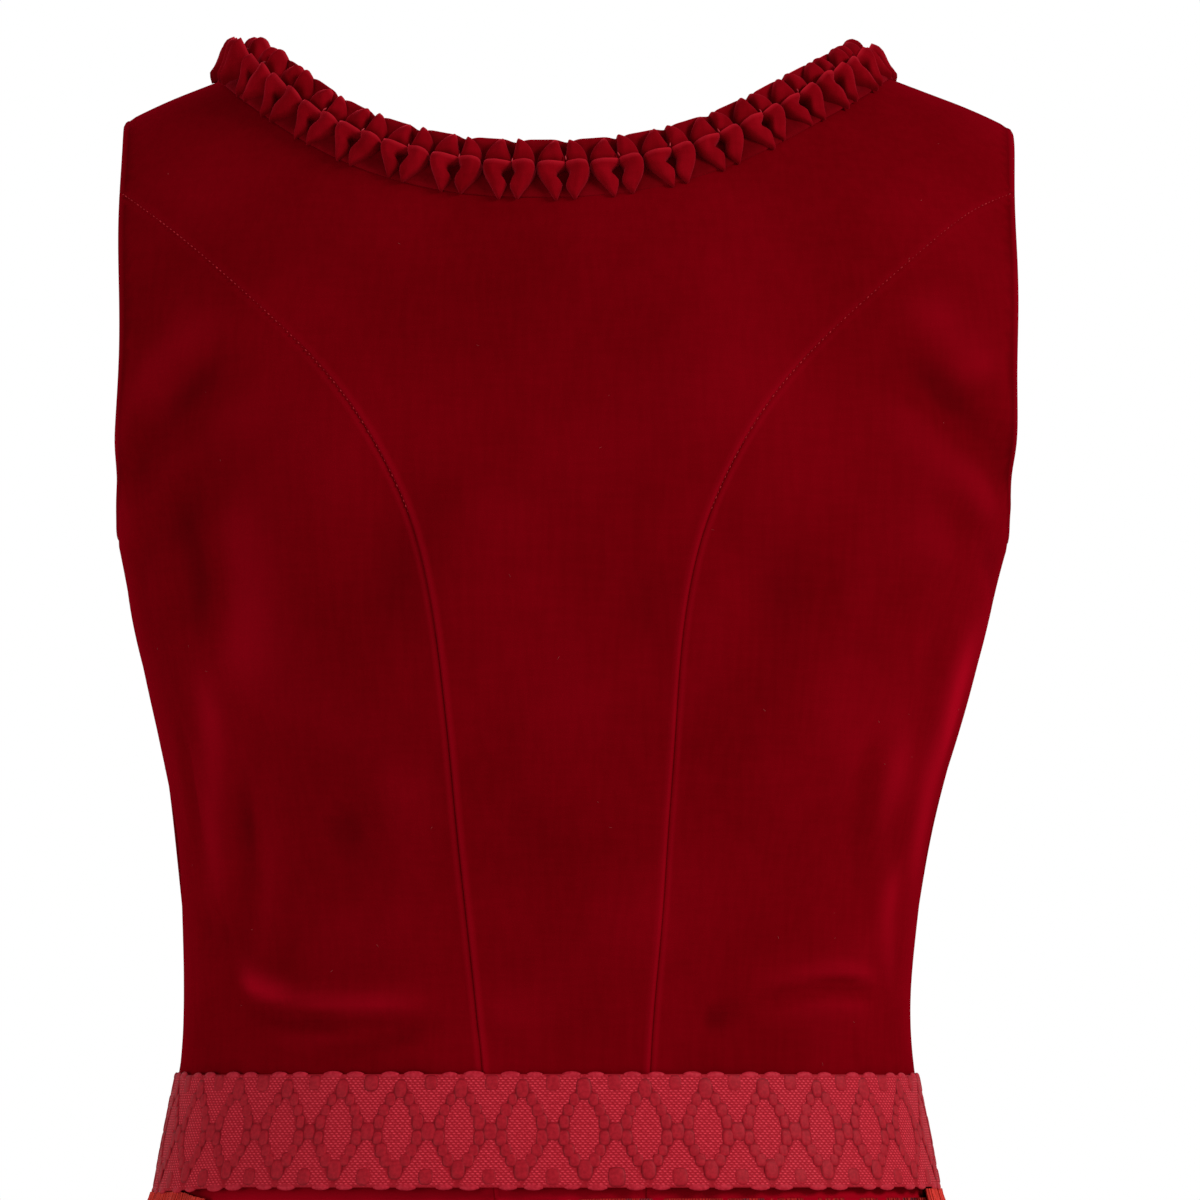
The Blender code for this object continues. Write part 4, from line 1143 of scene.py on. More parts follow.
    def build_panel(self, name: str, outline: Array, on_seam: Array, velvet: Material,
                    lining: Material) -> Piece:
        """One panel: its outline filled on the form, creased, rolled in at its edges and given its wall.

        Args:
            name: The solid that the panel stands for.
            outline: The outline's pattern places.
            on_seam: Which of them lie on a seam.
            velvet: The outside's material.
            lining: The inside's material.

        Returns:
            The panel.
        """
        places = np.concatenate([outline, self.filling(outline)])
        count = len(outline)
        rim = list(range(count))
        edges = [(i, (i + 1) % count) for i in rim]
        flat = [Vector(place) for place in self.torso.flat(places)]
        _, _, faces, origins, _, _ = delaunay_2d_cdt(flat, edges, [], 1, 1e-7)
        order = [origin[0] for origin in origins]
        faces = [tuple(order[corner] for corner in face) for face in faces]
        base, normals, _, _ = self.torso.frame(places)
        edge = base[:count]
        shape = self.ridge_side if "centre" in name else self.low_side
        crease = self.creases.lift(places)
        from_seam = self.edge_distance(base, edge, on_seam)
        clear = eased((self.ridge_top - base[:, 2]) / (self.ridge_top - self.ridge_full))
        strength = self.faint_share + (1.0 - self.faint_share) * clear
        lift = crease + shape.lift(from_seam) * strength
        lift += self.finished.lift(self.edge_distance(base, edge, ~on_seam))
        base[rim] = self.push_out(base[rim], normals[rim])
        outer = base + normals * lift[:, None]
        cloth = Cloth()
        raised = shape is self.ridge_side
        # Painted highlights: lighter velvet along the seam ridges, inside the finished edges, on the crease
        # lips, below the ribbon where its shadow falls, and along the streaks
        seam_light = bell(from_seam - shape.roll_at, self.seam_glow_width)
        ridge = self.seam_glow * strength * seam_light * (1.0 if raised else self.low_glow)
        from_edge = self.edge_distance(base, edge, ~on_seam)
        ridge += self.rim_glow * bell(from_edge - self.rim_glow_at, self.rim_glow_width)
        ridge += self.crease_light * np.clip(crease / self.crease_high, 0.0, self.most_painted_highlight) ** 1.5
        ridge += self.most_painted_highlight * (base[:, 2] < self.painted_highlight_below) + self.creases.nap(places)
        # Painted shade: darker velvet beside the seams, in the crease troughs and in the groove inside the
        # finished edges
        shaded = np.where(base[:, 0] > 0.0, 1.0, self.right_shadow)
        shade = self.high_shade if raised else self.low_shade
        hollow = shaded * clear * bell(from_seam, self.shadow_width) * shade
        hollow += self.crease_shade * bounded(-crease / self.crease_deep) ** 2.2
        hollow += self.rim_shade * bell(from_edge - self.finished.roll_at, self.finished.roll_width)
        marks = {"ridge": np.clip(ridge, 0.0, self.most_painted_highlight), "hollow": bounded(hollow)}
        add_wall(cloth, outer, outer - normals * self.wall, faces, [rim], marks=marks)
        self.spots.append((outer[count:], normals[count:]))
        return cloth.piece(name.replace("bodice", "velvet"), [velvet, lining], "velvet", 75.0, name)

    def push_out(self, points: Array, normals: Array) -> Array:
        """Edge points moved outwards over the surface by half the overlap that closes a seam."""
        after = unit(np.roll(points, -1, axis=0) - points)
        before = np.roll(after, 1, axis=0)
        inward_after = np.cross(normals, after)
        inward_before = np.cross(normals, before)
        scale = np.maximum(1.0 + dots(inward_after, inward_before), 0.35)
        return points - (inward_after + inward_before) * (self.seam_overlap / 2.0 / scale)[:, None]

    def build_stitches(self, thread: Material) -> Piece:
        """The thread that shows as dots along the upper part of the back princess seams."""
        chance = np.random.default_rng(SEED + 5)
        cloth = Cloth()
        for side in Side:
            path = self.torso.evenly(self.princess_seam(side, True), self.stitch_pitch)
            base, normals, _, _ = self.torso.frame(path)
            along = unit(np.gradient(base, axis=0))
            kept = base[:, 2] > self.stitch_from
            kept[-2:] = False
            lift = self.creases.lift(path) - self.stitch_sink
            origins = (base + normals * lift[:, None])[kept]
            grow = chance.uniform(0.45, 1.0, len(base))[:, None, None]
            ways = [along * self.stitch_length / 2.0, np.cross(normals, along) * self.stitch_radius,
                    normals * self.stitch_radius * 2.2]
            axes = (np.stack(ways, axis=1) * grow)[kept]
            copies(cloth, ball_form(6, 4), origins, axes)
        return cloth.piece("seam_stitches", [thread], "velvet")

    def build_lint(self, fluff: Material) -> Piece:
        """Small pale fibres caught in the nap."""
        chance = np.random.default_rng(SEED)
        outer = np.concatenate([spots for spots, _ in self.spots])
        normals = np.concatenate([ways for _, ways in self.spots])
        picks = chance.choice(len(outer), self.lint_count, replace=False)
        origins = outer[picks]
        normals = normals[picks]
        side = unit(np.cross(normals, (0.0, 0.0, 1.0)))
        up = np.cross(normals, side)
        angle = chance.uniform(0.0, math.pi, self.lint_count)[:, None]
        along = side * np.cos(angle) + up * np.sin(angle)
        length = self.lint_length * chance.uniform(0.3, 1.0, self.lint_count)[:, None] / 2.0
        axes = np.stack([along * length, np.cross(normals, along) * self.lint_radius,
                         normals * self.lint_radius], axis=1)
        cloth = Cloth()
        copies(cloth, ball_form(5, 4), origins + normals * self.lint_radius, axes)
        return cloth.piece("lint", [fluff], "velvet")


# The neck trim


@dataclass
class NeckTrim:
    """A long velvet strip, box-pleated and caught into frog mouths: four petals round each knot."""

    bodice: Bodice
    pitch: float = 0.0185
    first_knot: float = 0.5
    knot_lean: float = 0.0008
    strip: tuple[StripRow, ...] = in_tenths(StripRow, (
        (-114, 2, 0), (-111, 5, 0), (-96, 9, 2), (-68, 12, 6), (-30, 11, 6), (8, 12, 6), (42, 20, 8),
        (68, 30, 8), (84, 36, 2), (92, 32, 0), (95, 10, 0)))
    strip_notch: float = 0.0014
    strip_columns: int = 20
    root: float = 0.0004
    upper: PetalForm = PetalForm(0.0056, 0.55, 0.55, 0.70, 0.80, 0.66, 0.30, 6.0)
    lower: PetalForm = PetalForm(0.0064, 0.00, 0.05, 0.20, 0.32, 0.42, 0.26, 8.0)
    left_fullness: float = 0.95
    right_fullness: float = 0.35
    full_from: float = -0.012
    full_over: float = 0.020
    spread: float = 0.07
    lean: float = 0.0004
    reach: float = 0.03
    knot_lift: float = 0.0046
    knot_up: float = 0.0006
    knot_size: tuple[float, float, float] = (0.0009, 0.00020, 0.0003)
    around: int = 15
    along: int = 15
    upper_left: tuple[PetalRow, ...] = in_tenths(PetalRow, (
        (-6, -97, 8), (12, -100, 3), (34, -95, -7), (56, -81, -16), (74, -64, -22), (90, -47, -28)))
    upper_right: tuple[PetalRow, ...] = in_tenths(PetalRow, (
        (-6, 74, -8), (12, 78, -5), (34, 75, 1), (56, 65, 5), (74, 48, 8), (89, 28, 12)))
    lower_left: tuple[PetalRow, ...] = in_tenths(PetalRow, (
        (2, -100, 6), (-12, -103, 3), (-24, -101, -14), (-40, -94, -35), (-56, -85, -26), (-72, -74, -14),
        (-98, -58, -22), (-126, -40, -34)))
    lower_right: tuple[PetalRow, ...] = in_tenths(PetalRow, (
        (2, 74, -6), (-12, 79, -3), (-26, 80, 8), (-44, 76, 8), (-62, 68, -2), (-80, 56, -6),
        (-100, 40, 3), (-124, 23, 17)))

    def __post_init__(self) -> None:
        """Measure the loop and count the knots."""
        torso = self.bodice.torso
        loop = self.bodice.neck_loop
        self.stations = chord_stations(torso.point(loop[:, 0], loop[:, 1]))
        self.length = float(self.stations[-1])
        self.motifs = round(self.length / self.pitch)
        self.step = self.length / self.motifs
        self.knots = (np.arange(self.motifs) + self.first_knot) * self.step + self.knot_lean

    def point(self, station: Array, up: Array, lift: Array) -> tuple[Array, Array]:
        """Places over the neckline.

        Args:
            station: Metres along the loop.
            up: Metres towards the neckline's edge.
            lift: Metres off the bodice.

        Returns:
            The points and the normals there.
        """
        wanted = station % self.length
        path, side = (np.stack([np.interp(wanted, self.stations, rows[:, k]) for k in (0, 1)], -1)
                      for rows in (self.bodice.neck_loop, self.bodice.neck_side))
        places = path - side * up[..., None]
        base, normal, _, _ = self.bodice.torso.frame(places)
        fullness = np.where(base[..., 0] > 0.0, self.left_fullness, self.right_fullness)
        fuller = 1.0 + fullness * eased((base[..., 2] - self.full_from) / self.full_over)
        return base + normal * (lift * fuller)[..., None], normal

    def petal(self, rows: tuple[PetalRow, ...], form: PetalForm,
              chance: np.random.Generator) -> tuple[Array, list, int, Array, Marks]:
        """One petal of every motif, as puffed patches that close onto the strip.

        Args:
            rows: The petal's outline.
            form: How the petal swells.
            chance: The source of the small differences between petals.

        Returns:
            Points, faces, material index, cloth places, and the shares of painted highlight on the rims and
            of painted shade.
        """
        stations = chord_stations([(row.up, (row.outer + row.inner) / 2.0) for row in rows])
        outline = Spline(stations / stations[-1], rows)
        shares = (1.0 - np.cos(np.linspace(0.0, math.pi, self.along))) / 2.0
        row = PetalRow(*np.moveaxis(outline.at(shares), -1, 0))
        mix = (1.0 - np.cos(np.linspace(0.0, math.pi, self.around))) / 2.0
        across = row.outer[:, None] * (1.0 - mix) + row.inner[:, None] * mix
        ups = np.repeat(row.up[:, None], self.around, axis=1)
        from_root = bounded(shares / form.root_length)
        at_root = form.root + (1.0 - form.root) * np.sin(from_root * math.pi / 2.0)
        at_tip = 1.0 - (1.0 - form.tip) * eased((shares - form.tip_from) / (1.0 - form.tip_from))
        closed = np.sqrt(bounded(1.0 - bounded((shares - 0.92) / 0.08) ** 2))
        side = bounded(1.0 - np.abs(2.0 * mix - 1.0) ** form.blunt) ** 0.5
        crown = side * (1.0 - form.fall * np.abs(mix - form.crest) / max(form.crest, 1.0 - form.crest))
        puff = (at_root * at_tip * closed)[:, None] * crown[None, :]
        count = self.motifs
        size = 1.0 + self.spread * chance.standard_normal((count, 1, 1))
        lean = self.lean * chance.standard_normal((count, 1, 1))
        reach = 1.0 + self.reach * chance.standard_normal((count, 1, 1))
        station = self.knots[:, None, None] - (across[None] + lean * np.abs(ups[None]) / 0.01)
        up = ups[None] * reach + 0.0 * station
        lift = SEAM_GAP + self.root + form.rise * puff[None] * size
        points, _ = self.point(station, up, lift)
        faces = repeated(grid_faces(self.around, self.along)[0], self.around * self.along, count)
        is_upper = form.root > 0.0
        # Painted highlight along the petals' rims, and painted shade where a petal is low and at the bases
        # of the upper petals
        painted_rim_highlight = bell(shares - 0.90, 0.09) * 0.8 if is_upper else bell(shares - 0.05, 0.06)
        ridge = painted_rim_highlight[:, None] * bounded(crown * 1.3)[None, :]
        base = 0.55 * bell(shares, 0.22) if is_upper else 0.0 * shares
        hollow = bounded(0.8 * bounded(1.0 - puff / 0.45) + base[:, None])
        marks = {"ridge": np.tile(ridge.ravel(), count), "hollow": np.tile(hollow.ravel(), count)}
        return points, faces, Face.OUTSIDE.value, pairs(station, up), marks

    def build_strip(self, cloth: Cloth) -> None:
        """The strip behind the petals: creased between motifs and notched above each knot."""
        count = self.motifs * self.strip_columns
        station = np.arange(count) * self.length / count
        phase = TURN * (station / self.step - self.first_knot)
        at_knot = 0.5 + 0.5 * np.cos(phase)
        outer = []
        inner = []
        for row in self.strip:
            reach = max(0.0, row.up) / self.strip[-1].up
            up = row.up - self.strip_notch * reach * at_knot ** 4
            lift = SEAM_GAP + row.lift - row.crease * (1.0 - at_knot) ** 3 - row.crease * at_knot ** 6
            outer.append(self.point(station, up, lift)[0])
            inner.append(self.point(station, up, np.full(count, SEAM_GAP))[0])
        rows = len(self.strip)
        faces, rim = grid_faces(count, rows, True)
        ups = np.array([row.up for row in self.strip])
        uv = np.stack([np.tile(station, rows), np.repeat(ups, count)], axis=-1)
        # Painted shade on the strip: a little all over, more along its lower part, and most in its middle
        # band near the knots
        deep = 1.0 - eased((np.abs(ups + 0.001) - 0.0070) / 0.0030)
        low = eased((-0.0040 - ups) / 0.0040)
        shade = 0.12 + 0.55 * low[:, None] + 0.75 * deep[:, None] * (0.45 + 0.55 * at_knot[None, :] ** 2)
        marks = {"hollow": bounded(shade)}
        add_wall(cloth, np.concatenate(outer), np.concatenate(inner), faces, rim, uv, marks)

    def build(self, velvet: Material) -> Piece:
        """The whole trim as one velvet piece."""
        chance = np.random.default_rng(SEED + 1)
        cloth = Cloth()
        self.build_strip(cloth)
        for rows, form in ((self.upper_left, self.upper), (self.upper_right, self.upper),
                           (self.lower_left, self.lower), (self.lower_right, self.lower)):
            cloth.add(*self.petal(rows, form, chance))
        return cloth.piece("frog_mouth_trim", [velvet, velvet], "trim_velvet", 80.0, "neck_trim")

    def build_knots(self, thread: Material) -> Piece:
        """The stitch that catches the strip at each knot."""
        chance = np.random.default_rng(SEED + 2)
        up = self.knot_up + 0.0003 * chance.standard_normal(self.motifs)
        lift = np.full(self.motifs, SEAM_GAP + self.knot_lift)
        origins, normals = self.point(self.knots, up, lift)
        ahead, _ = self.point(self.knots + 0.001, up, lift)
        along = unit(ahead - origins)
        upward = np.cross(normals, along)
        lean = chance.uniform(-0.5, 0.5, self.motifs)[:, None]
        upward = upward * np.cos(lean) + along * np.sin(lean)
        length, width, depth = self.knot_size
        axes = np.stack([upward * length, np.cross(normals, upward) * width, normals * depth], axis=1)
        cloth = Cloth()
        copies(cloth, ball_form(8, 6), origins, axes)
        return cloth.piece("trim_stitches", [thread], "trim_velvet")


# The ribbon waistband


@dataclass
class Waistband:
    """The woven ribbon: twill diamonds between chains of pads, with scalloped edges."""

    torso: Torso
    top: float = -0.3443
    width: float = 0.0393
    dip: float = 0.0016
    wall: float = 0.0018
    stand_off_top: float = 0.0003
    stand_off_bottom: float = 0.0026
    start: float = math.radians(-62.0)
    overlap: float = 0.034
    overlap_ramp: float = 0.022
    radius: float = 0.110
    columns: int = 900
    rows: int = 46
    ground: float = 0.0012
    repeat: float = 0.0216
    phase_at_back: float = 0.0134
    pad_rise: float = 0.00052
    pad_clear: float = 0.0022
    pad_sink: float = 0.0001
    pad_blunt: float = 3.6
    pad_steps: int = 16
    # Each pad's rings: their reach, their lift, and the painted shade at the pad's rim where it meets the
    # ground
    pad_rings: tuple[tuple[float, ...], ...] = (
        (0.0, 0.45, 0.74, 0.88, 0.97, 1.08), (1.0, 0.99, 0.93, 0.78, 0.52, 0.45),
        (0.0, 0.0, 0.0, 0.12, 0.75, 0.85))
    twill_rise: float = 0.00022
    diamond_half_width: float = 0.0053
    diamond_half_height: float = 0.0122
    wedge_slope: float = 0.58
    wedge_from: float = 0.0007
    wedge_clear: float = 0.0022
    mask_edge: float = 0.0008
    twill_margin: float = 0.0006
    chain: tuple[Pad, ...] = in_tenths(Pad, (
        (34, 305, 34, 45), (55, 268, 36, 42), (69, 228, 35, 50), (70, 172, 36, 52), (53, 129, 36, 43),
        (34, 96, 36, 44)))
    diamond_ends: tuple[Pad, ...] = in_tenths(Pad, (
        (0, 342, 45, 64), (2, 63, 47, 66)))
    between: tuple[Pad, ...] = in_tenths(Pad, (
        (108, 194, 45, 56), (108, 363, 49, 54), (108, 38, 49, 56)))
    scallop_across: float = 0.0043
    scallop_up: float = 0.0003
    scallop_clear: float = 0.0004
    scallop_over: float = 0.0018
    scallop_half_width: float = 0.0036
    scallop_half_height: float = 0.0013
    scallop_half_depth: float = 0.00075

    def __post_init__(self) -> None:
        """Measure the ribbon's run round the waist."""
        overlap = self.overlap / self.radius
        self.end = self.start + TURN + overlap
        self.turns = np.linspace(self.start, self.end, 2400)
        middle = self.face(self.turns, np.full_like(self.turns, self.top - self.width / 2.0), 0.0)
        self.stations = chord_stations(middle)
        self.length = float(self.stations[-1])
        at_back = float(np.interp(math.pi / 2.0, self.turns, self.stations))
        self.first = (at_back + self.phase_at_back) % self.repeat
        self.count = int((self.length - self.first) / self.repeat)

    def face(self, turn: Array, height: Array, lift: float) -> Array:
        """Points of the ribbon off its inner face, with its end lifted over its start.

        Args:
            turn: Turns round the waist.
            height: Heights.
            lift: Metres off the inner face.

        Returns:
            The points.
        """
        heights = np.linspace(self.top - self.width - 0.002, self.top + 0.002, 12)
        rises = np.array([self.torso.rise_at(float(z)) for z in heights])
        rise = np.interp(height, heights, rises)
        point, normal, _, _ = surface_frame(self.torso.point, turn, rise)
        share = (self.top - height) / self.width
        stand_off = self.stand_off_top + (self.stand_off_bottom - self.stand_off_top) * share
        point = point + normal * stand_off[..., None]
        normal[..., 2] = 0.0
        normal = unit(normal)
        ramp = self.overlap_ramp / self.radius
        into = eased((turn - (self.start + TURN - ramp)) / ramp)
        over = (self.wall + SEAM_GAP) * into
        point = point + normal * (over + lift)[..., None]
        point[..., 2] = height - self.dip * share * dipped(turn)
        return point

    def place(self, along: Array, up: Array, lift: Array) -> Array:
        """Points by metres along the ribbon, up from its lower edge and off its inner face."""
        turn = np.interp(along, self.stations, self.turns)
        return self.face(turn, self.top - self.width + up, lift)

    def twill_mask(self, along: Array, up: Array) -> Array:
        """Where the ground is twill: in the diamonds and in the wedges between them, from 0 to 1."""
        across = (along - self.first + self.repeat / 2.0) % self.repeat - self.repeat / 2.0
        level = np.abs(up - self.between[0].up)
        far = bounded(1.0 - (level / self.diamond_half_height) ** 2.2)
        inside = self.diamond_half_width * far ** 0.8 - np.abs(across)
        beside = self.repeat / 2.0 - np.abs(across)
        wedge = np.minimum(self.wedge_slope * (level - self.wedge_from) - beside, level - self.wedge_clear)
        edge = np.minimum(up, self.width - up) - self.twill_margin
        mask = np.minimum(np.maximum(inside, wedge), edge)
        return eased(mask / self.mask_edge + 0.5)

    def build_ground(self, twill: Material, back: Material) -> Piece:
        """The ribbon's ground with its raised twill, as a closed wall."""
        along, up = np.meshgrid(np.linspace(0.0, self.length, self.columns),
                                np.linspace(0.0, self.width, self.rows))
        mask = self.twill_mask(along, up)
        outer = self.place(along, up, self.ground + self.twill_rise * mask)
        inner = self.place(along, up, np.zeros_like(along))
        faces, rim = grid_faces(self.columns, self.rows)
        cloth = Cloth()
        add_wall(cloth, outer, inner, faces, rim, pairs(along, up), {"twill": mask.ravel()})
        return cloth.piece("ribbon_ground", [twill, back], "ribbon", replaces="waist_ribbon")

    def pads(self) -> tuple[Array, Array]:
        """Every pad's place (along, up) and half size along the whole ribbon."""
        places = []
        sizes = []
        for motif in range(-1, self.count + 2):
            centre = self.first + motif * self.repeat
            for group, signs in ((self.chain, (-1.0, 1.0)), (self.diamond_ends + self.between, (1.0,))):
                for pad in group:
                    places.extend((centre + sign * pad.across, pad.up) for sign in signs)
                    sizes.extend([(pad.width / 2.0, pad.height / 2.0)] * len(signs))
        places = np.array(places)
        sizes = np.array(sizes)
        kept = (places[:, 0] > self.pad_clear) & (places[:, 0] < self.length - self.pad_clear)
        return places[kept], sizes[kept]

    def build_pads(self, satin: Material) -> Piece:
        """The pads as low domes with blunt outlines, joined in one mesh."""
        chance = np.random.default_rng(SEED + 3)
        places, sizes = self.pads()
        rings, lifts, shades = (np.array(row) for row in self.pad_rings)
        steps = self.pad_steps
        angle = TURN * np.arange(steps) / steps
        across, level, blunt = oval(angle, self.pad_blunt)
        u = np.concatenate([[0.0], (rings[1:, None] * (blunt * across)[None]).ravel()])
        v = np.concatenate([[0.0], (rings[1:, None] * (blunt * level)[None]).ravel()])
        h = np.concatenate([[lifts[0]], np.repeat(lifts[1:], steps)])
        faces = [(0, 1 + s, 1 + (s + 1) % steps) for s in range(steps)]
        for ring in range(len(rings) - 2):
            low = 1 + ring * steps
            for s in range(steps):
                beside = (s + 1) % steps
                faces.append((low + s, low + steps + s, low + steps + beside, low + beside))
        count = len(places)
        grow = 1.03 + 0.06 * chance.standard_normal((count, 1))
        along = places[:, :1] + sizes[:, :1] * u[None] * grow
        up = np.clip(places[:, 1:] + sizes[:, 1:] * v[None] * grow, 0.0002, self.width - 0.0002)
        high = self.pad_rise * (1.0 + 0.10 * chance.standard_normal((count, 1)))
        lift = self.ground - self.pad_sink + (high + self.pad_sink) * h[None]
        points = self.place(along, up, lift)
        cloth = Cloth()
        # Painted shade round the rim of each pad
        shade = np.concatenate([shades[:1], np.repeat(shades[1:], steps)])
        marks = {"hollow": np.tile(shade, count)}
        cloth.add(points, repeated(faces, len(u), count), 0, pairs(along, up), marks)
        return cloth.piece("ribbon_pads", [satin], "ribbon")

    def build_scallops(self, satin: Material) -> Piece:
        """The small arcs along both edges of the ribbon."""
        chance = np.random.default_rng(SEED + 4)
        places = []
        for motif in range(-1, self.count + 2):
            centre = self.first + motif * self.repeat
            for sign in (-1.0, 1.0):
                for up in (self.scallop_up, self.width - self.scallop_up):
                    places.append((centre + sign * self.scallop_across, up))
        places = np.array(places)
        edge = self.scallop_half_width + self.scallop_clear
        places = places[(places[:, 0] > edge) & (places[:, 0] < self.length - edge)]
        ball, faces = ball_form(14, 6)
        count = len(places)
        grow = 1.0 + 0.07 * chance.standard_normal((count, 1))
        along = places[:, :1] + self.scallop_half_width * ball[None, :, 0] * grow
        up = places[:, 1:] + self.scallop_half_height * ball[None, :, 2] * grow
        lift = self.ground - 0.0003 + self.scallop_half_depth * ball[None, :, 1]
        points = self.place(along, np.clip(up, -self.scallop_over, self.width + self.scallop_over), lift)
        cloth = Cloth()
        cloth.add(points, repeated(faces, len(ball), count), 0, pairs(along, up))
        return cloth.piece("ribbon_scallops", [satin], "ribbon")


# Skirt and apron


@dataclass
class SkirtForm:
    """The form that the skirt's and the apron's folds play about."""

    top: float = -0.3895
    rows: tuple[SkirtRow, ...] = in_tenths(SkirtRow, (
        (-100, 1340, 880, 900, 10, 9, 40), (0, 1360, 893, 912, 10, 9, 46),
        (140, 1420, 945, 962, 21, 19, 66), (450, 1540, 1050, 1050, 36, 30, 94),
        (1000, 1710, 1190, 1170, 50, 40, 120), (1900, 1930, 1380, 1330, 64, 50, 146),
        (3100, 2180, 1610, 1540, 76, 58, 168), (4400, 2430, 1850, 1770, 86, 64, 184),
        (5700, 2670, 2090, 2000, 94, 68, 196), (7000, 2900, 2320, 2220, 100, 70, 204)))
    squareness: float = 2.1
    shift: float = 0.0048
    evening: float = 0.09
    crest: float = 0.18
    wander: tuple[Wave, ...] = (Wave(5.0, 0.180, 0.7), Wave(11.0, 0.108, 2.0))
    folds_per_swell: float = 5.0
    uneven: float = 0.14
    slow_swell: Wave = Wave(3.0, 0.5, 0.4)
    quick_swell: Wave = Wave(1.0, 0.5, 1.1)
    sections: Spline = field(init=False)

    def __post_init__(self) -> None:
        """Solve the sections by their drop."""
        self.sections = Spline([row.drop for row in self.rows], self.rows)

    def row(self, drop: Array) -> SkirtRow:
        """The section at each drop."""
        return SkirtRow(*np.moveaxis(self.sections.at(drop), -1, 0))

    def phase(self, turn: Array, folds: float) -> Array:
        """The running count of folds at a turn."""
        even = turn + self.evening * np.sin(2.0 * turn)
        wander = sum(wave.share * np.sin(wave.per_round * turn + wave.start) for wave in self.wander)
        return folds * even / TURN + wander

    def share(self, turn: Array, folds: float) -> Array:
        """How deep the folds are at a turn, as a share of the deepest."""
        swells = folds * turn / self.folds_per_swell
        quick = self.quick_swell.share * np.sin(swells + self.quick_swell.start)
        slow = self.slow_swell.share * np.sin(self.slow_swell.per_round * turn + self.slow_swell.start)
        return 1.0 - self.uneven * (1.0 + quick + slow)

    def wave(self, phase: Array) -> Array:
        """The height of a fold, from -1 in its trough to 1 on its rounder crest."""
        angle = TURN * phase
        return np.cos(angle) - self.crest * np.cos(2.0 * angle) + self.crest

    def base(self, turn: Array, drop: Array, clear: Array) -> tuple[Array, Array, Array, Array]:
        """The smooth form moved out by a clearance: x, y and the way out."""
        row = self.row(drop)
        half_width = row.half_width + clear
        power = self.squareness
        across, along, reach = oval(turn, power)
        depth = np.where(along >= 0.0, row.back_depth, row.front_depth) + clear
        out_x = np.sign(across) * np.abs(across) ** (power - 1.0) / half_width
        out_y = np.sign(along) * np.abs(along) ** (power - 1.0) / depth
        size = np.sqrt(out_x ** 2 + out_y ** 2)
        return half_width * reach * across + self.shift, depth * reach * along, out_x / size, out_y / size


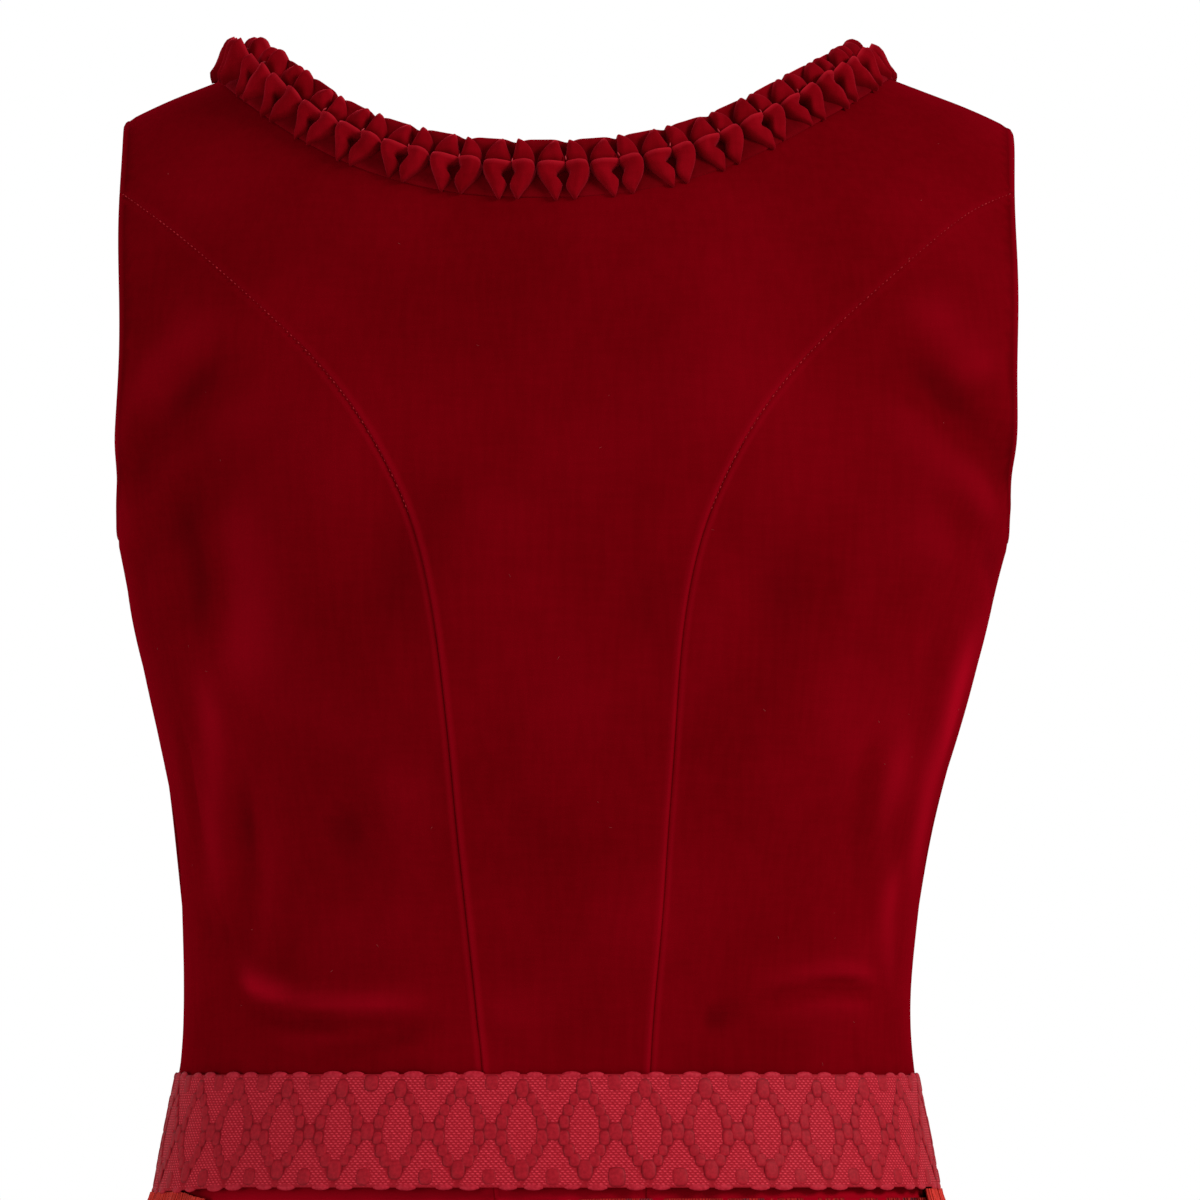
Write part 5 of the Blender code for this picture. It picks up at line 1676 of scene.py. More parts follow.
@dataclass
class GatheredCloth:
    """A length of cloth gathered into folds that hang from the waist."""

    form: SkirtForm
    name: str
    slot_name: str
    first: float
    last: float
    folds: float
    top_drop: float
    length: float
    wall: float
    is_apron: bool
    gathers: float = 5.0
    gather_depth: float = 0.00075
    gather_fade: float = 0.040
    pleat_depth: float = 0.0011
    pleat_start: float = 0.012
    pleat_fade: float = 0.150
    sway: float = 0.0016
    sway_from: float = 0.15
    hem: float = 0.030
    hem_step: float = 0.00035
    hem_ease: float = 0.0015
    slant: float = 0.0
    slant_over: float = 0.16
    raise_top: float = 0.0
    raise_over: float = 0.030
    raise_from: float = 1.30
    raise_ease: float = 0.45
    raise_clear: float = 0.0017
    columns_per_fold: int = 30
    levels: int = 52
    probe: float = 3e-4
    cut_level: float = 0.6

    def place(self, turn: Array, drop: Array) -> Array:
        """A point of the cloth's outer face."""
        raised = 1.0 - dipped(turn)
        raised = raised if self.is_apron else raised * eased((turn - self.raise_from) / self.raise_ease)
        near_top = 1.0 - eased((drop - self.top_drop) / self.raise_over)
        slanted = self.slant * (1.0 - bounded((self.last - turn) / self.slant_over))
        drop = drop + (slanted - self.raise_top * raised) * near_top
        row = self.form.row(drop)
        clear = row.apron_clear if self.is_apron else self.raise_clear * near_top * (self.raise_top > 0.0)
        deep = row.apron_fold if self.is_apron else row.skirt_fold
        x, y, out_x, out_y = self.form.base(turn, drop, clear)
        phase = self.form.phase(turn, self.folds)
        fold = deep * self.form.share(turn, self.folds) * self.form.wave(phase)
        below = drop - self.top_drop
        uneven = 0.7 + 0.3 * np.sin(phase * 1.7 + 0.4)
        small = np.cos(TURN * (self.gathers * phase + 0.35 * np.sin(2.3 * phase)))
        fold = fold + self.gather_depth * uneven * small * np.exp(-below / self.gather_fade)
        split = np.cos(TURN * (2.0 * phase + 0.22 * np.sin(1.31 * phase + 0.5)))
        start = 1.0 - np.exp(-below / self.pleat_start)
        fold = fold + self.pleat_depth * split * start * np.exp(-below / self.pleat_fade)
        fold = fold + self.sway * np.sin(9.0 * below + 2.1 * phase) * eased(below / self.sway_from)
        fold = fold + self.hem_step * eased((below - (self.length - self.hem)) / self.hem_ease)
        return np.stack([x + out_x * fold, y + out_y * fold, self.form.top - drop], axis=-1)

    def turns(self) -> Array:
        """Turns from one edge to the other, evenly spread over the folds."""
        dense = np.linspace(self.first, self.last, 6000)
        phases = self.form.phase(dense, self.folds)
        count = round(abs(phases[-1] - phases[0]) * self.columns_per_fold)
        return np.interp(np.linspace(phases[0], phases[-1], count + 1), phases, dense)

    def drops(self) -> Array:
        """Levels from the gathers to the hem, close together at the top and at the hem's step."""
        share = np.linspace(0.0, 1.0, self.levels)
        spread = self.length * (0.12 * share + 0.88 * share ** 2.2)
        near_hem = self.length - self.hem + np.array([-0.0004, 0.0006, 0.0018])
        return self.top_drop + np.unique(np.concatenate([spread, near_hem]))

    def build(self, outside: Material, inside: Material) -> Piece:
        """The cloth as a closed wall, with cloth coordinates in metres for its weave and pattern."""
        turn, drop = np.meshgrid(self.turns(), self.drops())
        outer, inward, _, _ = surface_frame(self.place, turn, drop, self.probe, self.probe)
        width = chord_stations(outer[int(self.cut_level * len(drop))])
        faces, rim = grid_faces(turn.shape[1], turn.shape[0])
        cloth = Cloth()
        uv = pairs(np.broadcast_to(width, turn.shape), drop)
        add_wall(cloth, outer, outer + inward * self.wall, faces, rim, uv)
        LOG.info("%s: %.2f m wide at the hem", self.name, chord_stations(outer[-1])[-1])
        return cloth.piece(self.name + "_cloth", [outside, inside], self.slot_name, 75.0, self.name)


# Finishes


class Nodes:
    """Short ways to add shader nodes to one tree."""

    def __init__(self, tree: bpy.types.NodeTree) -> None:
        """Keep the tree."""
        self.tree = tree

    def new(self, kind: str, **values: object) -> bpy.types.Node:
        """A node of a kind, with properties set by name."""
        node = self.tree.nodes.new(kind)
        for name, value in values.items():
            setattr(node, name, value)
        return node

    def link(self, source: object, target: Socket) -> None:
        """Feed a socket from another socket or set it to a plain value."""
        if isinstance(source, Socket):
            self.tree.links.new(source, target)
        else:
            target.default_value = source

    def math(self, operation: str, *values: object, clamp: bool = False) -> Socket:
        """The result of a math node."""
        node = self.new("ShaderNodeMath", operation=operation, use_clamp=clamp)
        for value, socket in zip(values, node.inputs):
            self.link(value, socket)
        return node.outputs[0]

    def times(self, first: object, second: object) -> Socket:
        """One value times another."""
        return self.math("MULTIPLY", first, second)

    def plus(self, first: object, second: object) -> Socket:
        """Two values added."""
        return self.math("ADD", first, second)

    def minus(self, first: object, second: object) -> Socket:
        """One value less another."""
        return self.math("SUBTRACT", first, second)

    def affine(self, value: object, factor: object, term: object) -> Socket:
        """A value times a factor, plus a term."""
        return self.math("MULTIPLY_ADD", value, factor, term)

    def wave(self, operation: str, turns: object) -> Socket:
        """The sine or cosine of a number of whole turns."""
        return self.math(operation, self.times(turns, TURN))

    def split(self, vector: object) -> tuple[Socket, Socket]:
        """The first two numbers of a vector."""
        node = self.new("ShaderNodeSeparateXYZ")
        self.link(vector, node.inputs[0])
        return node.outputs[0], node.outputs[1]

    def mark(self, name: str) -> Socket:
        """The share that a piece's points carry under a name."""
        return self.new("ShaderNodeAttribute", attribute_name=name).outputs["Fac"]

    def mix(self, share: object, first: object, second: object) -> Socket:
        """A colour between two colours."""
        node = self.new("ShaderNodeMix", data_type="RGBA")
        self.link(share, node.inputs["Factor"])
        self.link(first, node.inputs[6])
        self.link(second, node.inputs[7])
        return node.outputs[2]

    def ramp(self, value: object, low: float, high: float) -> Socket:
        """A value stretched from low..high to 0..1 with soft ends."""
        node = self.new("ShaderNodeMapRange", interpolation_type="SMOOTHSTEP")
        self.link(value, node.inputs["Value"])
        node.inputs["From Min"].default_value = low
        node.inputs["From Max"].default_value = high
        return node.outputs["Result"]

    def scaled(self, vector: object, scale: tuple[float, float, float]) -> Socket:
        """A vector scaled on each axis."""
        node = self.new("ShaderNodeMapping")
        self.link(vector, node.inputs["Vector"])
        node.inputs["Scale"].default_value = scale
        return node.outputs["Vector"]

    def noise(self, vector: object, scale: object, detail: float = 3.0,
              roughness: float = 0.5) -> Socket:
        """Smooth noise, from about 0.2 to 0.8."""
        node = self.new("ShaderNodeTexNoise")
        self.link(vector, node.inputs["Vector"])
        self.link(scale, node.inputs["Scale"])
        node.inputs["Detail"].default_value = detail
        node.inputs["Roughness"].default_value = roughness
        return node.outputs["Fac"]

    def place(self) -> Socket:
        """The object's own coordinates, in metres."""
        return self.new("ShaderNodeTexCoord").outputs["Object"]

    def cloth_place(self) -> Socket:
        """The cloth's own coordinates, in metres."""
        return self.new("ShaderNodeUVMap", uv_map="cloth").outputs["UV"]

    def bump(self, height: object, distance: float, strength: float,
             under: Optional[Socket] = None) -> Socket:
        """A normal bent by a height.

        Args:
            height: The height's socket.
            distance: Metres for a height of 1.
            strength: The share of the effect.
            under: A normal to build on.

        Returns:
            The normal's socket.
        """
        node = self.new("ShaderNodeBump")
        self.link(height, node.inputs["Height"])
        node.inputs["Distance"].default_value = distance
        node.inputs["Strength"].default_value = strength
        if under is not None:
            self.link(under, node.inputs["Normal"])
        return node.outputs["Normal"]


def effect(name: str, inputs: dict[str, tuple[str, object]], outputs: dict[str, str]
           ) -> tuple[bpy.types.NodeTree, Nodes, bpy.types.Node, bpy.types.Node]:
    """A new shader node group.

    Args:
        name: The group's name.
        inputs: Socket types and values by name.
        outputs: Socket types by name.

    Returns:
        The group, its node maker, its input node and its output node.
    """
    tree = bpy.data.node_groups.new(name, "ShaderNodeTree")
    for label, (kind, value) in inputs.items():
        socket = tree.interface.new_socket(label, in_out="INPUT", socket_type=kind)
        socket.default_value = value
    for label, kind in outputs.items():
        tree.interface.new_socket(label, in_out="OUTPUT", socket_type=kind)
    nodes = Nodes(tree)
    return tree, nodes, nodes.new("NodeGroupInput"), nodes.new("NodeGroupOutput")


FLOAT = "NodeSocketFloat"
COLOUR = "NodeSocketColor"
VECTOR = "NodeSocketVector"


def nap_effect() -> bpy.types.NodeTree:
    """Velvet nap: brushed patches and streaks between two colours, and the height of the pile."""
    tree, nodes, given, out = effect(
        "VelvetNap",
        {"Deep": (COLOUR, (0.1, 0.0, 0.0, 1.0)), "Lit": (COLOUR, (0.2, 0.0, 0.0, 1.0)),
         "Patch Scale": (FLOAT, 22.0), "Streak Share": (FLOAT, 0.3)},
        {"Color": COLOUR, "Height": FLOAT})
    place = nodes.place()
    patches = nodes.ramp(nodes.noise(place, given.outputs["Patch Scale"], 3.0), 0.22, 0.78)
    streaks = nodes.ramp(nodes.noise(nodes.scaled(place, (420.0, 420.0, 60.0)), 1.0, 2.0), 0.3, 0.7)
    cross = nodes.ramp(nodes.noise(nodes.scaled(place, (90.0, 90.0, 560.0)), 1.0, 2.0), 0.3, 0.7)
    weave = nodes.affine(cross, 0.4, nodes.times(streaks, 0.6))
    keep = nodes.minus(1.0, given.outputs["Streak Share"])
    share = nodes.affine(weave, given.outputs["Streak Share"], nodes.times(patches, keep))
    nodes.link(nodes.mix(share, given.outputs["Deep"], given.outputs["Lit"]), out.inputs["Color"])
    pile = nodes.noise(place, 2600.0, 2.0, 0.6)
    tufts = nodes.noise(place, 620.0, 2.0)
    height = nodes.affine(tufts, 0.6, nodes.times(pile, 0.4))
    nodes.link(height, out.inputs["Height"])
    return tree


def weave_effect() -> bpy.types.NodeTree:
    """Plain weave on cloth coordinates: the height of its threads and a slow change between threads."""
    tree, nodes, given, out = effect(
        "PlainWeave",
        {"Place": (VECTOR, (0.0, 0.0, 0.0)), "Warps": (FLOAT, 1800.0), "Wefts": (FLOAT, 1500.0)},
        {"Height": FLOAT, "Slub": FLOAT})
    x, y = nodes.split(given.outputs["Place"])
    warp = nodes.wave("SINE", nodes.times(x, given.outputs["Warps"]))
    weft = nodes.wave("SINE", nodes.times(y, given.outputs["Wefts"]))
    height = nodes.affine(nodes.times(warp, weft), 0.5, 0.5)
    nodes.link(height, out.inputs["Height"])
    slub = nodes.noise(nodes.scaled(given.outputs["Place"], (60.0, 900.0, 1.0)), 1.0, 3.0)
    nodes.link(slub, out.inputs["Slub"])
    return tree


class Effects(Enum):
    """The shared effects, by the name of their node group."""

    NAP = "VelvetNap"
    WEAVE = "PlainWeave"


def use_effect(nodes: Nodes, which: Effects, **values: object) -> bpy.types.Node:
    """Place a shared effect in a material, with underscores in its input names for spaces."""
    tree = bpy.data.node_groups.get(which.value)
    if tree is None:
        tree = nap_effect() if which is Effects.NAP else weave_effect()
    node = nodes.new("ShaderNodeGroup", node_tree=tree)
    for name, value in values.items():
        nodes.link(value, node.inputs[name.replace("_", " ")])
    return node


def new_material(name: str, **values: object) -> tuple[Material, Nodes, bpy.types.Node]:
    """A new material.

    Args:
        name: Its name.
        values: What the shader's sockets are set to, by name, with underscores for spaces.

    Returns:
        The material, its node maker and its Principled shader.
    """
    material = bpy.data.materials.new(name)
    material.use_nodes = True
    shader = material.node_tree.nodes["Principled BSDF"]
    for label, value in values.items():
        shader.inputs[label.replace("_", " ")].default_value = value
    return material, Nodes(material.node_tree), shader


@dataclass(frozen=True)
class Velvet:
    """Velvet: deep in the nap, with sheen where it turns away, painted highlights on its ridges and painted
    shade in its hollows.
    """

    name: str
    deep: Colour
    lit: Colour
    sheen: float
    sheen_tint: Colour
    # The painted highlight's colour, the painted shade's colour, and how much of each the marks mix in
    fold: Colour = (0.27, 0.0012, 0.0075, 1.0)
    hollow: Colour = (0.030, 0.0002, 0.0006, 1.0)
    hollow_share: float = 0.42
    painted_highlight_share: float = 0.75
    sheen_roughness: float = 0.35
    roughness: float = 0.90
    patch_scale: float = 20.0
    streak_share: float = 0.35
    pile: float = 0.00035
    pile_strength: float = 0.35

    def material(self) -> Material:
        """The finish as a material."""
        material, nodes, shader = new_material(
            self.name, Roughness=self.roughness, Specular_IOR_Level=0.0, Sheen_Weight=self.sheen,
            Sheen_Roughness=self.sheen_roughness, Sheen_Tint=self.sheen_tint)
        nap = use_effect(nodes, Effects.NAP, Deep=self.deep, Lit=self.lit, Patch_Scale=self.patch_scale,
                         Streak_Share=self.streak_share)
        # Painted shade and painted highlights, from the marks that each piece carries
        ridge = nodes.mark("ridge")
        hollow = nodes.mark("hollow")
        shaded = nodes.mix(nodes.times(hollow, self.hollow_share), nap.outputs["Color"], self.hollow)
        painted_highlights = nodes.mix(nodes.times(ridge, self.painted_highlight_share), shaded, self.fold)
        nodes.link(painted_highlights, shader.inputs["Base Color"])
        normal = nodes.bump(nap.outputs["Height"], self.pile, self.pile_strength)
        nodes.link(normal, shader.inputs["Normal"])
        return material


def gather_ridges(nodes: Nodes, place: Socket, ridges: float) -> Socket:
    """Fine ridges of gathered cloth that fade out below the waist.

    Args:
        nodes: The material's node maker.
        place: The cloth's coordinates.
        ridges: Ridges in a metre of cloth.

    Returns:
        The ridges' height, from 0 to 1.
    """
    x, y = nodes.split(place)
    stray = nodes.times(nodes.noise(nodes.scaled(place, (110.0, 22.0, 1.0)), 1.0, 2.0), 1.7)
    wave = nodes.affine(nodes.wave("COSINE", nodes.plus(nodes.times(x, ridges), stray)), 0.5, 0.5)
    return nodes.times(wave, nodes.minus(1.0, nodes.ramp(y, 0.004, 0.075)))


@dataclass(frozen=True)
class WovenCloth:
    """Plain woven cotton or silk, in one colour with slubs, with thread tops painted lighter as a small
    painted highlight, and painted highlights on the crests of any gathers.
    """

    name: str
    deep: Colour
    lit: Colour
    warps: float
    wefts: float
    roughness: float
    sheen: float = 0.1
    thread: float = 0.00012
    strength: float = 0.5
    gloss: float = 0.05
    gathers: float = 0.0
    gather_painted_highlight: Colour = (0.95, 0.060, 0.045, 1.0)

    def material(self) -> Material:
        """The finish as a material."""
        material, nodes, shader = new_material(
            self.name, Specular_IOR_Level=self.gloss, Sheen_Weight=self.sheen,
            Sheen_Roughness=CLOTH_SHEEN_ROUGHNESS, Sheen_Tint=self.lit)
        place = nodes.cloth_place()
        weave = use_effect(nodes, Effects.WEAVE, Place=place, Warps=self.warps, Wefts=self.wefts)
        slub = nodes.ramp(weave.outputs["Slub"], 0.3, 0.7)
        # The weave's height lightens the thread tops, a small painted highlight; the slubs vary the tone at
        # random
        share = nodes.affine(weave.outputs["Height"], 0.35, nodes.times(slub, 0.65))
        woven = nodes.mix(share, self.deep, self.lit)
        rough = nodes.affine(slub, 0.10, self.roughness - 0.05)
        nodes.link(rough, shader.inputs["Roughness"])
        normal = nodes.bump(weave.outputs["Height"], self.thread, self.strength)
        if self.gathers > 0.0:
            ridges = gather_ridges(nodes, place, self.gathers)
            # Painted highlight on the crests of the gathers
            woven = nodes.mix(nodes.times(ridges, 0.75), woven, self.gather_painted_highlight)
            normal = nodes.bump(ridges, GATHER_RIDGE, GATHER_STRENGTH, normal)
        nodes.link(woven, shader.inputs["Base Color"])
        nodes.link(normal, shader.inputs["Normal"])
        return material


@dataclass(frozen=True)
class FlowerPrint:
    """Red cotton with a generic half-drop repeat of muted mauve flowers and leaves."""

    name: str
    red: Colour
    bright: Colour
    mauve: Colour
    brown: Colour
    repeat_across: float = 0.042
    repeat_down: float = 0.046
    flower: float = 0.0120
    petals: float = 5.0
    heart: float = 0.0030
    roughness: float = 0.72
    gather_painted_highlight: Colour = (0.52, 0.020, 0.016, 1.0)

    def material(self) -> Material:
        """The finish as a material."""
        material, nodes, shader = new_material(
            self.name, Roughness=self.roughness, Specular_IOR_Level=0.05, Sheen_Weight=0.12,
            Sheen_Roughness=CLOTH_SHEEN_ROUGHNESS, Sheen_Tint=self.bright)
        place = nodes.cloth_place()
        weave = use_effect(nodes, Effects.WEAVE, Place=place, Warps=1500.0, Wefts=1300.0)
        slub = nodes.ramp(weave.outputs["Slub"], 0.3, 0.7)
        ground = nodes.mix(nodes.affine(slub, 0.5, 0.25), self.red, self.bright)
        flower, heart, leaf = self.masks(nodes, place)
        leafy = nodes.mix(leaf, ground, self.brown)
        petals = nodes.mix(nodes.times(slub, 0.4), self.mauve, self.brown)
        flowered = nodes.mix(flower, leafy, petals)
        printed = nodes.mix(heart, flowered, self.bright)
        ridges = gather_ridges(nodes, place, 560.0)
        # Painted highlight on the crests of the gathers
        lit = nodes.mix(nodes.times(ridges, 0.45), printed, self.gather_painted_highlight)
        nodes.link(lit, shader.inputs["Base Color"])
        normal = nodes.bump(weave.outputs["Height"], 0.00014, 0.5)
        nodes.link(nodes.bump(ridges, GATHER_RIDGE, GATHER_STRENGTH, normal), shader.inputs["Normal"])
        return material

    def masks(self, nodes: Nodes, place: Socket) -> tuple:
        """Masks of the petals, the flower's heart and the leaves.

        Args:
            nodes: The material's node maker.
            place: The cloth's coordinates.

        Returns:
            The three masks' sockets.
        """
        u, v = nodes.split(place)
        column = nodes.math("DIVIDE", u, self.repeat_across)
        odd = nodes.times(nodes.math("MODULO", nodes.math("FLOOR", column), 2.0), 0.5)
        x = nodes.times(nodes.minus(nodes.math("FRACT", column), 0.5), self.repeat_across)
        row = nodes.math("FRACT", nodes.plus(nodes.math("DIVIDE", v, self.repeat_down), odd))
        y = nodes.times(nodes.minus(row, 0.5), self.repeat_down)
        wobble = nodes.affine(nodes.noise(place, 160.0, 2.0), 0.006, -0.003)
        squares = nodes.plus(nodes.times(x, x), nodes.times(y, y))
        radius = nodes.plus(nodes.math("POWER", squares, 0.5), wobble)
        angle = nodes.math("ARCTAN2", y, x)
        lobes = nodes.math("ABSOLUTE", nodes.math("COSINE", nodes.times(angle, self.petals / 2.0)))
        edge = nodes.affine(lobes, 0.42 * self.flower, 0.58 * self.flower)
        flower = nodes.ramp(nodes.minus(edge, radius), -0.0004, 0.0008)
        heart = nodes.ramp(nodes.minus(self.heart, radius), -0.0003, 0.0006)
        across = nodes.math("ABSOLUTE", nodes.affine(y, 0.55, x))
        long = nodes.math("ABSOLUTE", nodes.affine(x, -0.55, y))
        bulge = nodes.minus(long, 0.0155)
        shape = nodes.plus(nodes.times(nodes.times(bulge, bulge), 95.0), across)
        leaf = nodes.ramp(nodes.minus(0.0033, shape), -0.0004, 0.0008)
        return flower, heart, leaf


@dataclass(frozen=True)
class RibbonTwill:
    """The ribbon's ground: dull between the pads, with painted highlights on the raised threads of the
    twill.
    """

    name: str
    ground: Colour
    twill: Colour
    painted_thread_highlight: Colour
    thread_along: float = 0.00174
    thread_up: float = 0.00087
    slant: float = 0.30

    def material(self) -> Material:
        """The finish as a material."""
        material, nodes, shader = new_material(
            self.name, Specular_IOR_Level=0.06, Sheen_Weight=0.08, Sheen_Roughness=CLOTH_SHEEN_ROUGHNESS,
            Sheen_Tint=self.painted_thread_highlight)
        x, y = nodes.split(nodes.cloth_place())
        mask = nodes.mark("twill")
        row = nodes.math("DIVIDE", y, self.thread_up)
        shift = nodes.times(nodes.math("MODULO", nodes.math("FLOOR", row), 2.0), 0.5)
        level = nodes.minus(nodes.math("FRACT", row), 0.5)
        leaning = nodes.affine(level, self.slant, shift)
        column = nodes.plus(nodes.math("DIVIDE", x, self.thread_along), leaning)
        beside = nodes.minus(nodes.math("FRACT", column), 0.5)
        across = nodes.wave("COSINE", beside)
        upward = nodes.wave("COSINE", level)
        dash = nodes.times(nodes.ramp(across, -0.95, 0.60), nodes.ramp(upward, -0.95, 0.50))
        dash = nodes.times(dash, mask)
        vary = nodes.ramp(nodes.noise(nodes.cloth_place(), 700.0, 2.0), 0.10, 0.70)
        # Painted highlight on the raised twill threads, varied at random
        woven = nodes.mix(nodes.times(dash, vary), self.twill, self.painted_thread_highlight)
        nodes.link(nodes.mix(mask, self.ground, woven), shader.inputs["Base Color"])
        height = nodes.affine(dash, 0.8, nodes.times(vary, 0.2))
        nodes.link(nodes.bump(height, 0.00040, 0.9), shader.inputs["Normal"])
        nodes.link(nodes.affine(dash, -0.22, 0.62), shader.inputs["Roughness"])
        return material


@dataclass(frozen=True)
class SatinThread:
    """Smooth thread packed side by side, as on the ribbon's pads and scallops, or a sewing thread."""

    name: str
    colour: Colour
    lit: Colour
    hollow: Colour = (0.165, 0.0018, 0.0062, 1.0)
    threads: float = 2600.0
    roughness: float = 0.50
    strength: float = 0.5

    def material(self) -> Material:
        """The finish as a material."""
        material, nodes, shader = new_material(
            self.name, Roughness=self.roughness, Specular_IOR_Level=0.08, Sheen_Weight=0.06,
            Sheen_Roughness=CLOTH_SHEEN_ROUGHNESS, Sheen_Tint=self.lit)
        x, _ = nodes.split(nodes.cloth_place())
        lines = nodes.math("SINE", nodes.times(x, self.threads * TURN))
        height = nodes.affine(lines, 0.5, 0.5)
        vary = nodes.ramp(nodes.noise(nodes.place(), 900.0, 2.0), 0.3, 0.75)
        # The thread tops are painted lighter, a small painted highlight varied at random; the mark mixes in
        # painted shade
        share = nodes.times(nodes.affine(height, 0.4, 0.6), vary)
        hollow = nodes.mark("hollow")
        shaded = nodes.mix(hollow, nodes.mix(share, self.colour, self.lit), self.hollow)
        nodes.link(shaded, shader.inputs["Base Color"])
        nodes.link(nodes.bump(height, 0.00006, self.strength), shader.inputs["Normal"])
        return material


# The photo's setting


@dataclass
class Studio:
    """The camera, the light and the floor."""

    eye: Point = (-0.0142, 4.0, -0.365)
    aim: Point = (-0.0142, 0.0, -0.1757)
    seen_width: float = 0.426
    sensor: float = 36.0
    floor_height: float = -1.38
    floor_half: float = 6.0
    backdrop: float = 1.0
    surround: float = 0.42
    floor_colour: Colour = (0.78, 0.775, 0.77, 1.0)

    def build_camera(self) -> None:
        """The camera at the photo's angle."""
        data = bpy.data.cameras.new("photo_camera")
        camera = bpy.data.objects.new("photo_camera", data)
        bpy.context.scene.collection.objects.link(camera)
        way = Vector(self.aim) - Vector(self.eye)
        camera.location = self.eye
        camera.rotation_euler = way.to_track_quat("-Z", "Y").to_euler()
        data.sensor_width = self.sensor
        data.lens = self.sensor * way.length / self.seen_width
        data.clip_end = 60.0
        bpy.context.scene.camera = camera

    def add_softbox(self, name: str, place: Point, size: float, power: float) -> None:
        """A large square light aimed at the bodice."""
        data = bpy.data.lights.new(name, "AREA")
        data.size = size
        data.energy = power
        light = bpy.data.objects.new(name, data)
        bpy.context.scene.collection.objects.link(light)
        light.location = place
        light.rotation_euler = (Vector(self.aim) - Vector(place)).to_track_quat("-Z", "Y").to_euler()

    def build_light(self) -> None:
        """A white backdrop, an even surround and two soft boxes."""
        world = bpy.data.worlds.new("studio")
        world.use_nodes = True
        nodes = Nodes(world.node_tree)
        background = world.node_tree.nodes["Background"]
        background.inputs["Color"].default_value = (1.0, 1.0, 1.0, 1.0)
        seen = nodes.new("ShaderNodeLightPath").outputs["Is Camera Ray"]
        strength = nodes.affine(seen, self.backdrop - self.surround, self.surround)
        nodes.link(strength, background.inputs["Strength"])
        bpy.context.scene.world = world
        self.add_softbox("key", (-3.0, 1.7, 1.20), size=1.1, power=104.0)
        self.add_softbox("fill", (2.6, 2.3, -0.55), size=1.8, power=42.0)
        bpy.context.scene.view_settings.view_transform = "Standard"

    def build_floor(self) -> None:
        """A plain pale floor where the wearer would stand."""
        mesh = bpy.data.meshes.new("floor")
        reach = self.floor_half
        corners = [(-reach, -reach, 0.0), (reach, -reach, 0.0), (reach, reach, 0.0), (-reach, reach, 0.0)]
        mesh.from_pydata(corners, [], [(0, 1, 2, 3)])
        floor = bpy.data.objects.new("floor", mesh)
        floor.location = (0.0, 0.0, self.floor_height)
        bpy.context.scene.collection.objects.link(floor)
        material, nodes, shader = new_material("pale_floor", Roughness=0.8)
        grain = nodes.ramp(nodes.noise(nodes.place(), 3.0, 4.0), 0.2, 0.8)
        darker = tuple(0.97 * value for value in self.floor_colour[:3]) + (1.0,)
        nodes.link(nodes.mix(grain, darker, self.floor_colour), shader.inputs["Base Color"])
        mesh.materials.append(material)


@dataclass
class Finishes:
    """Every finish of the dress."""

    velvet: Velvet = Velvet(
        "velvet", (0.110, 0.0002, 0.0018, 1.0), (0.160, 0.0004, 0.0032, 1.0), 0.50,
        (0.62, 0.002, 0.02, 1.0))
    # The trim's velvet takes a lighter painted highlight on its petal rims and more painted shade
    trim: Velvet = Velvet(
        "trim_velvet", (0.130, 0.0006, 0.0024, 1.0), (0.235, 0.0018, 0.0060, 1.0), 0.80,
        (0.95, 0.045, 0.08, 1.0), fold=(0.42, 0.010, 0.020, 1.0), hollow_share=0.55, patch_scale=60.0)
    lining: WovenCloth = WovenCloth(
        "lining", (0.24, 0.012, 0.010, 1.0), (0.34, 0.022, 0.016, 1.0), 1400.0, 1400.0, 0.75)
    twill: RibbonTwill = RibbonTwill(
        "ribbon_twill", (0.25, 0.0040, 0.010, 1.0), (0.325, 0.0070, 0.016, 1.0), (0.74, 0.045, 0.070, 1.0))
    ribbon_back: SatinThread = SatinThread(
        "ribbon_back", (0.24, 0.006, 0.012, 1.0), (0.30, 0.010, 0.018, 1.0))
    pads: SatinThread = SatinThread(
        "ribbon_satin", (0.262, 0.0042, 0.0115, 1.0), (0.375, 0.0092, 0.0190, 1.0))
    scallops: SatinThread = SatinThread(
        "ribbon_edge", (0.33, 0.0075, 0.018, 1.0), (0.48, 0.020, 0.038, 1.0))
    seam_thread: SatinThread = SatinThread(
        "seam_thread", (0.24, 0.006, 0.010, 1.0), (0.40, 0.016, 0.022, 1.0))
    knot_thread: SatinThread = SatinThread(
        "knot_thread", (0.36, 0.02, 0.03, 1.0), (0.50, 0.05, 0.06, 1.0))
    fluff: SatinThread = SatinThread(
        "lint", (0.26, 0.02, 0.02, 1.0), (0.44, 0.09, 0.08, 1.0), roughness=0.9)
    skirt: FlowerPrint = FlowerPrint(
        "skirt_cotton", (0.22, 0.010, 0.010, 1.0), (0.40, 0.022, 0.016, 1.0),
        (0.13, 0.022, 0.030, 1.0), (0.085, 0.022, 0.022, 1.0))
    skirt_inside: WovenCloth = WovenCloth(
        "skirt_inside", (0.20, 0.012, 0.012, 1.0), (0.28, 0.020, 0.018, 1.0), 1500.0, 1300.0, 0.78)
    silk: WovenCloth = WovenCloth(
        "apron_silk", (0.47, 0.022, 0.016, 1.0), (0.68, 0.044, 0.030, 1.0), 1900.0, 1500.0, 0.42, 0.2,
        0.00008, gathers=600.0)


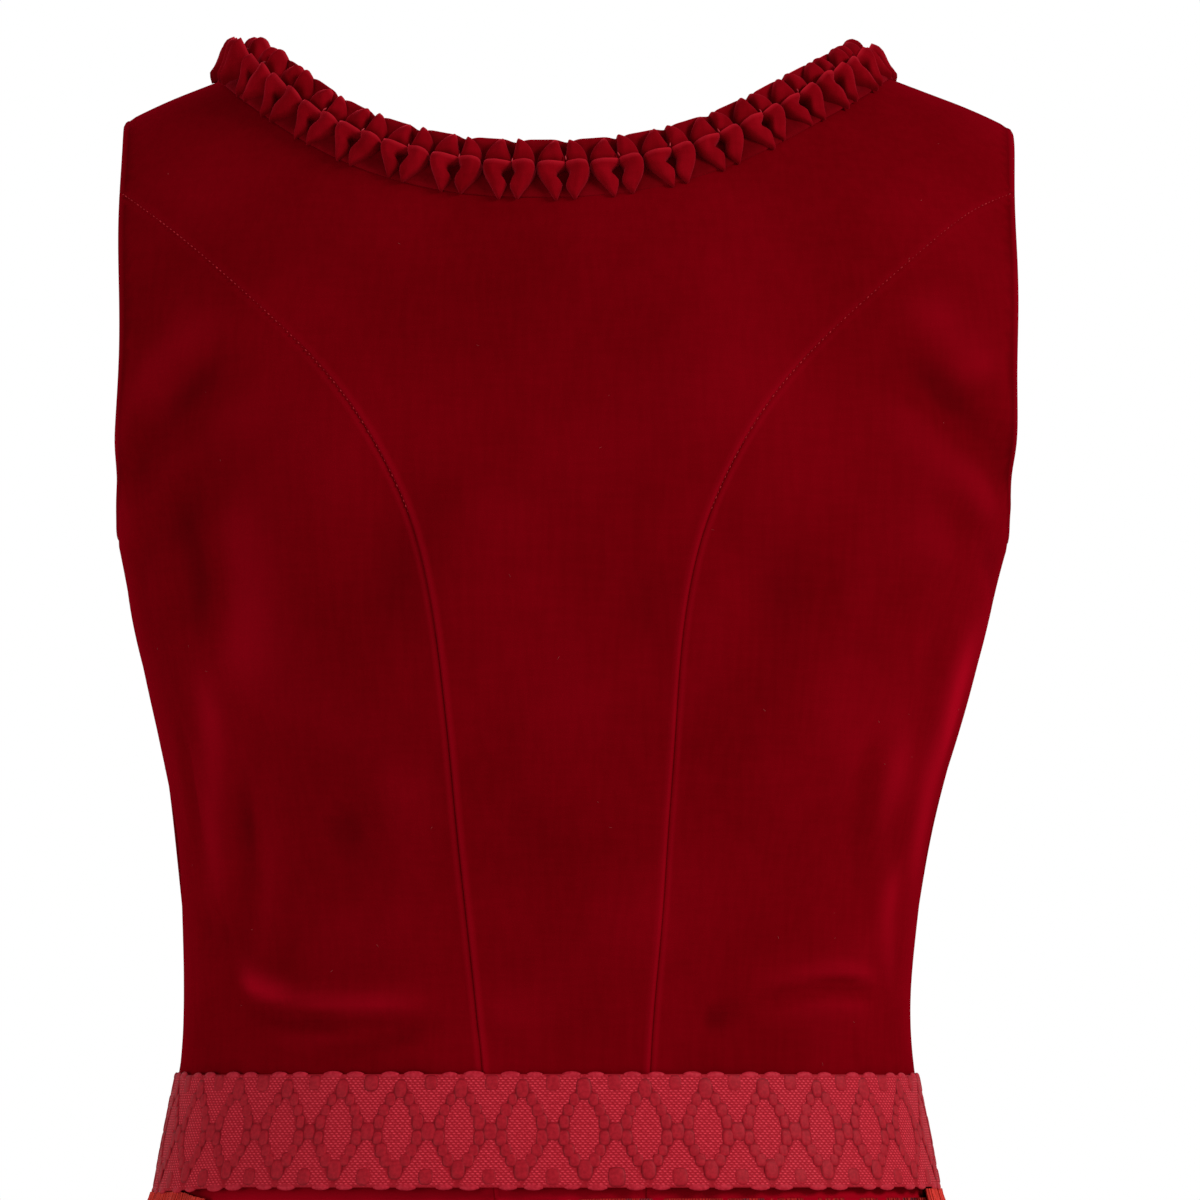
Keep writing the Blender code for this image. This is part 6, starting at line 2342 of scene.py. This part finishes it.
def dress_bodice(torso: Torso, finishes: Finishes) -> Bodice:
    """Build the bodice's panels, stitches and lint."""
    bodice = Bodice(torso, Creases(torso))
    velvet = finishes.velvet.material()
    lining = finishes.lining.material()
    for name, (outline, on_seam) in bodice.outlines().items():
        panel = bodice.build_panel(name, outline, on_seam, velvet, lining)
    bodice.build_stitches(finishes.seam_thread.material())
    bodice.build_lint(finishes.fluff.material())
    return bodice


def dress_trim(bodice: Bodice, finishes: Finishes) -> None:
    """Build the neck trim and its stitches."""
    trim = NeckTrim(bodice)
    strip = trim.build(finishes.trim.material())
    knots = trim.build_knots(finishes.knot_thread.material())
    LOG.info("trim: %d motifs", trim.motifs)


def dress_band(torso: Torso, finishes: Finishes) -> None:
    """Build the ribbon waistband."""
    band = Waistband(torso)
    ground = band.build_ground(finishes.twill.material(), finishes.ribbon_back.material())
    pads = band.build_pads(finishes.pads.material())
    scallops = band.build_scallops(finishes.scallops.material())
    LOG.info("ribbon: %.3f m long, %d repeats", band.length, band.count)


def dress_skirt(finishes: Finishes) -> None:
    """Build the two skirt panels and the apron."""
    form = SkirtForm()
    gap = SEAM_GAP / 2.0 / form.rows[1].back_depth
    cotton = finishes.skirt.material()
    inside = finishes.skirt_inside.material()
    silk = finishes.silk.material()
    for name, first, last, raised in (("skirt_back", gap, math.pi - gap, 0.0021),
                                      ("skirt_front", -math.pi + gap, -gap, 0.0)):
        panel = GatheredCloth(
            form, name, "skirt_cloth", first, last, folds=44.0, top_drop=0.0, length=0.672, wall=0.0011,
            is_apron=False, raise_top=raised)
        piece = panel.build(cotton, inside)
    left = math.radians(33.0)
    right = math.radians(-197.0)
    ring = APRON_FOLDS * TURN / (left - right)
    apron = GatheredCloth(
        form, "apron", "apron_silk", right, left, folds=ring, top_drop=-0.0040, length=0.620, wall=0.0010,
        is_apron=True, gather_depth=0.0006, pleat_depth=0.0008, slant=0.003, raise_top=0.0013, levels=47)
    apron.build(silk, silk)


def main() -> None:
    """Build the dress and its setting."""
    logging.basicConfig(level=logging.INFO, format="%(name)s %(message)s")
    studio = Studio()
    studio.build_camera()
    studio.build_light()
    studio.build_floor()
    finishes = Finishes()
    torso = Torso()
    bodice = dress_bodice(torso, finishes)
    dress_trim(bodice, finishes)
    dress_band(torso, finishes)
    dress_skirt(finishes)


if __name__ == "__main__":
    main()
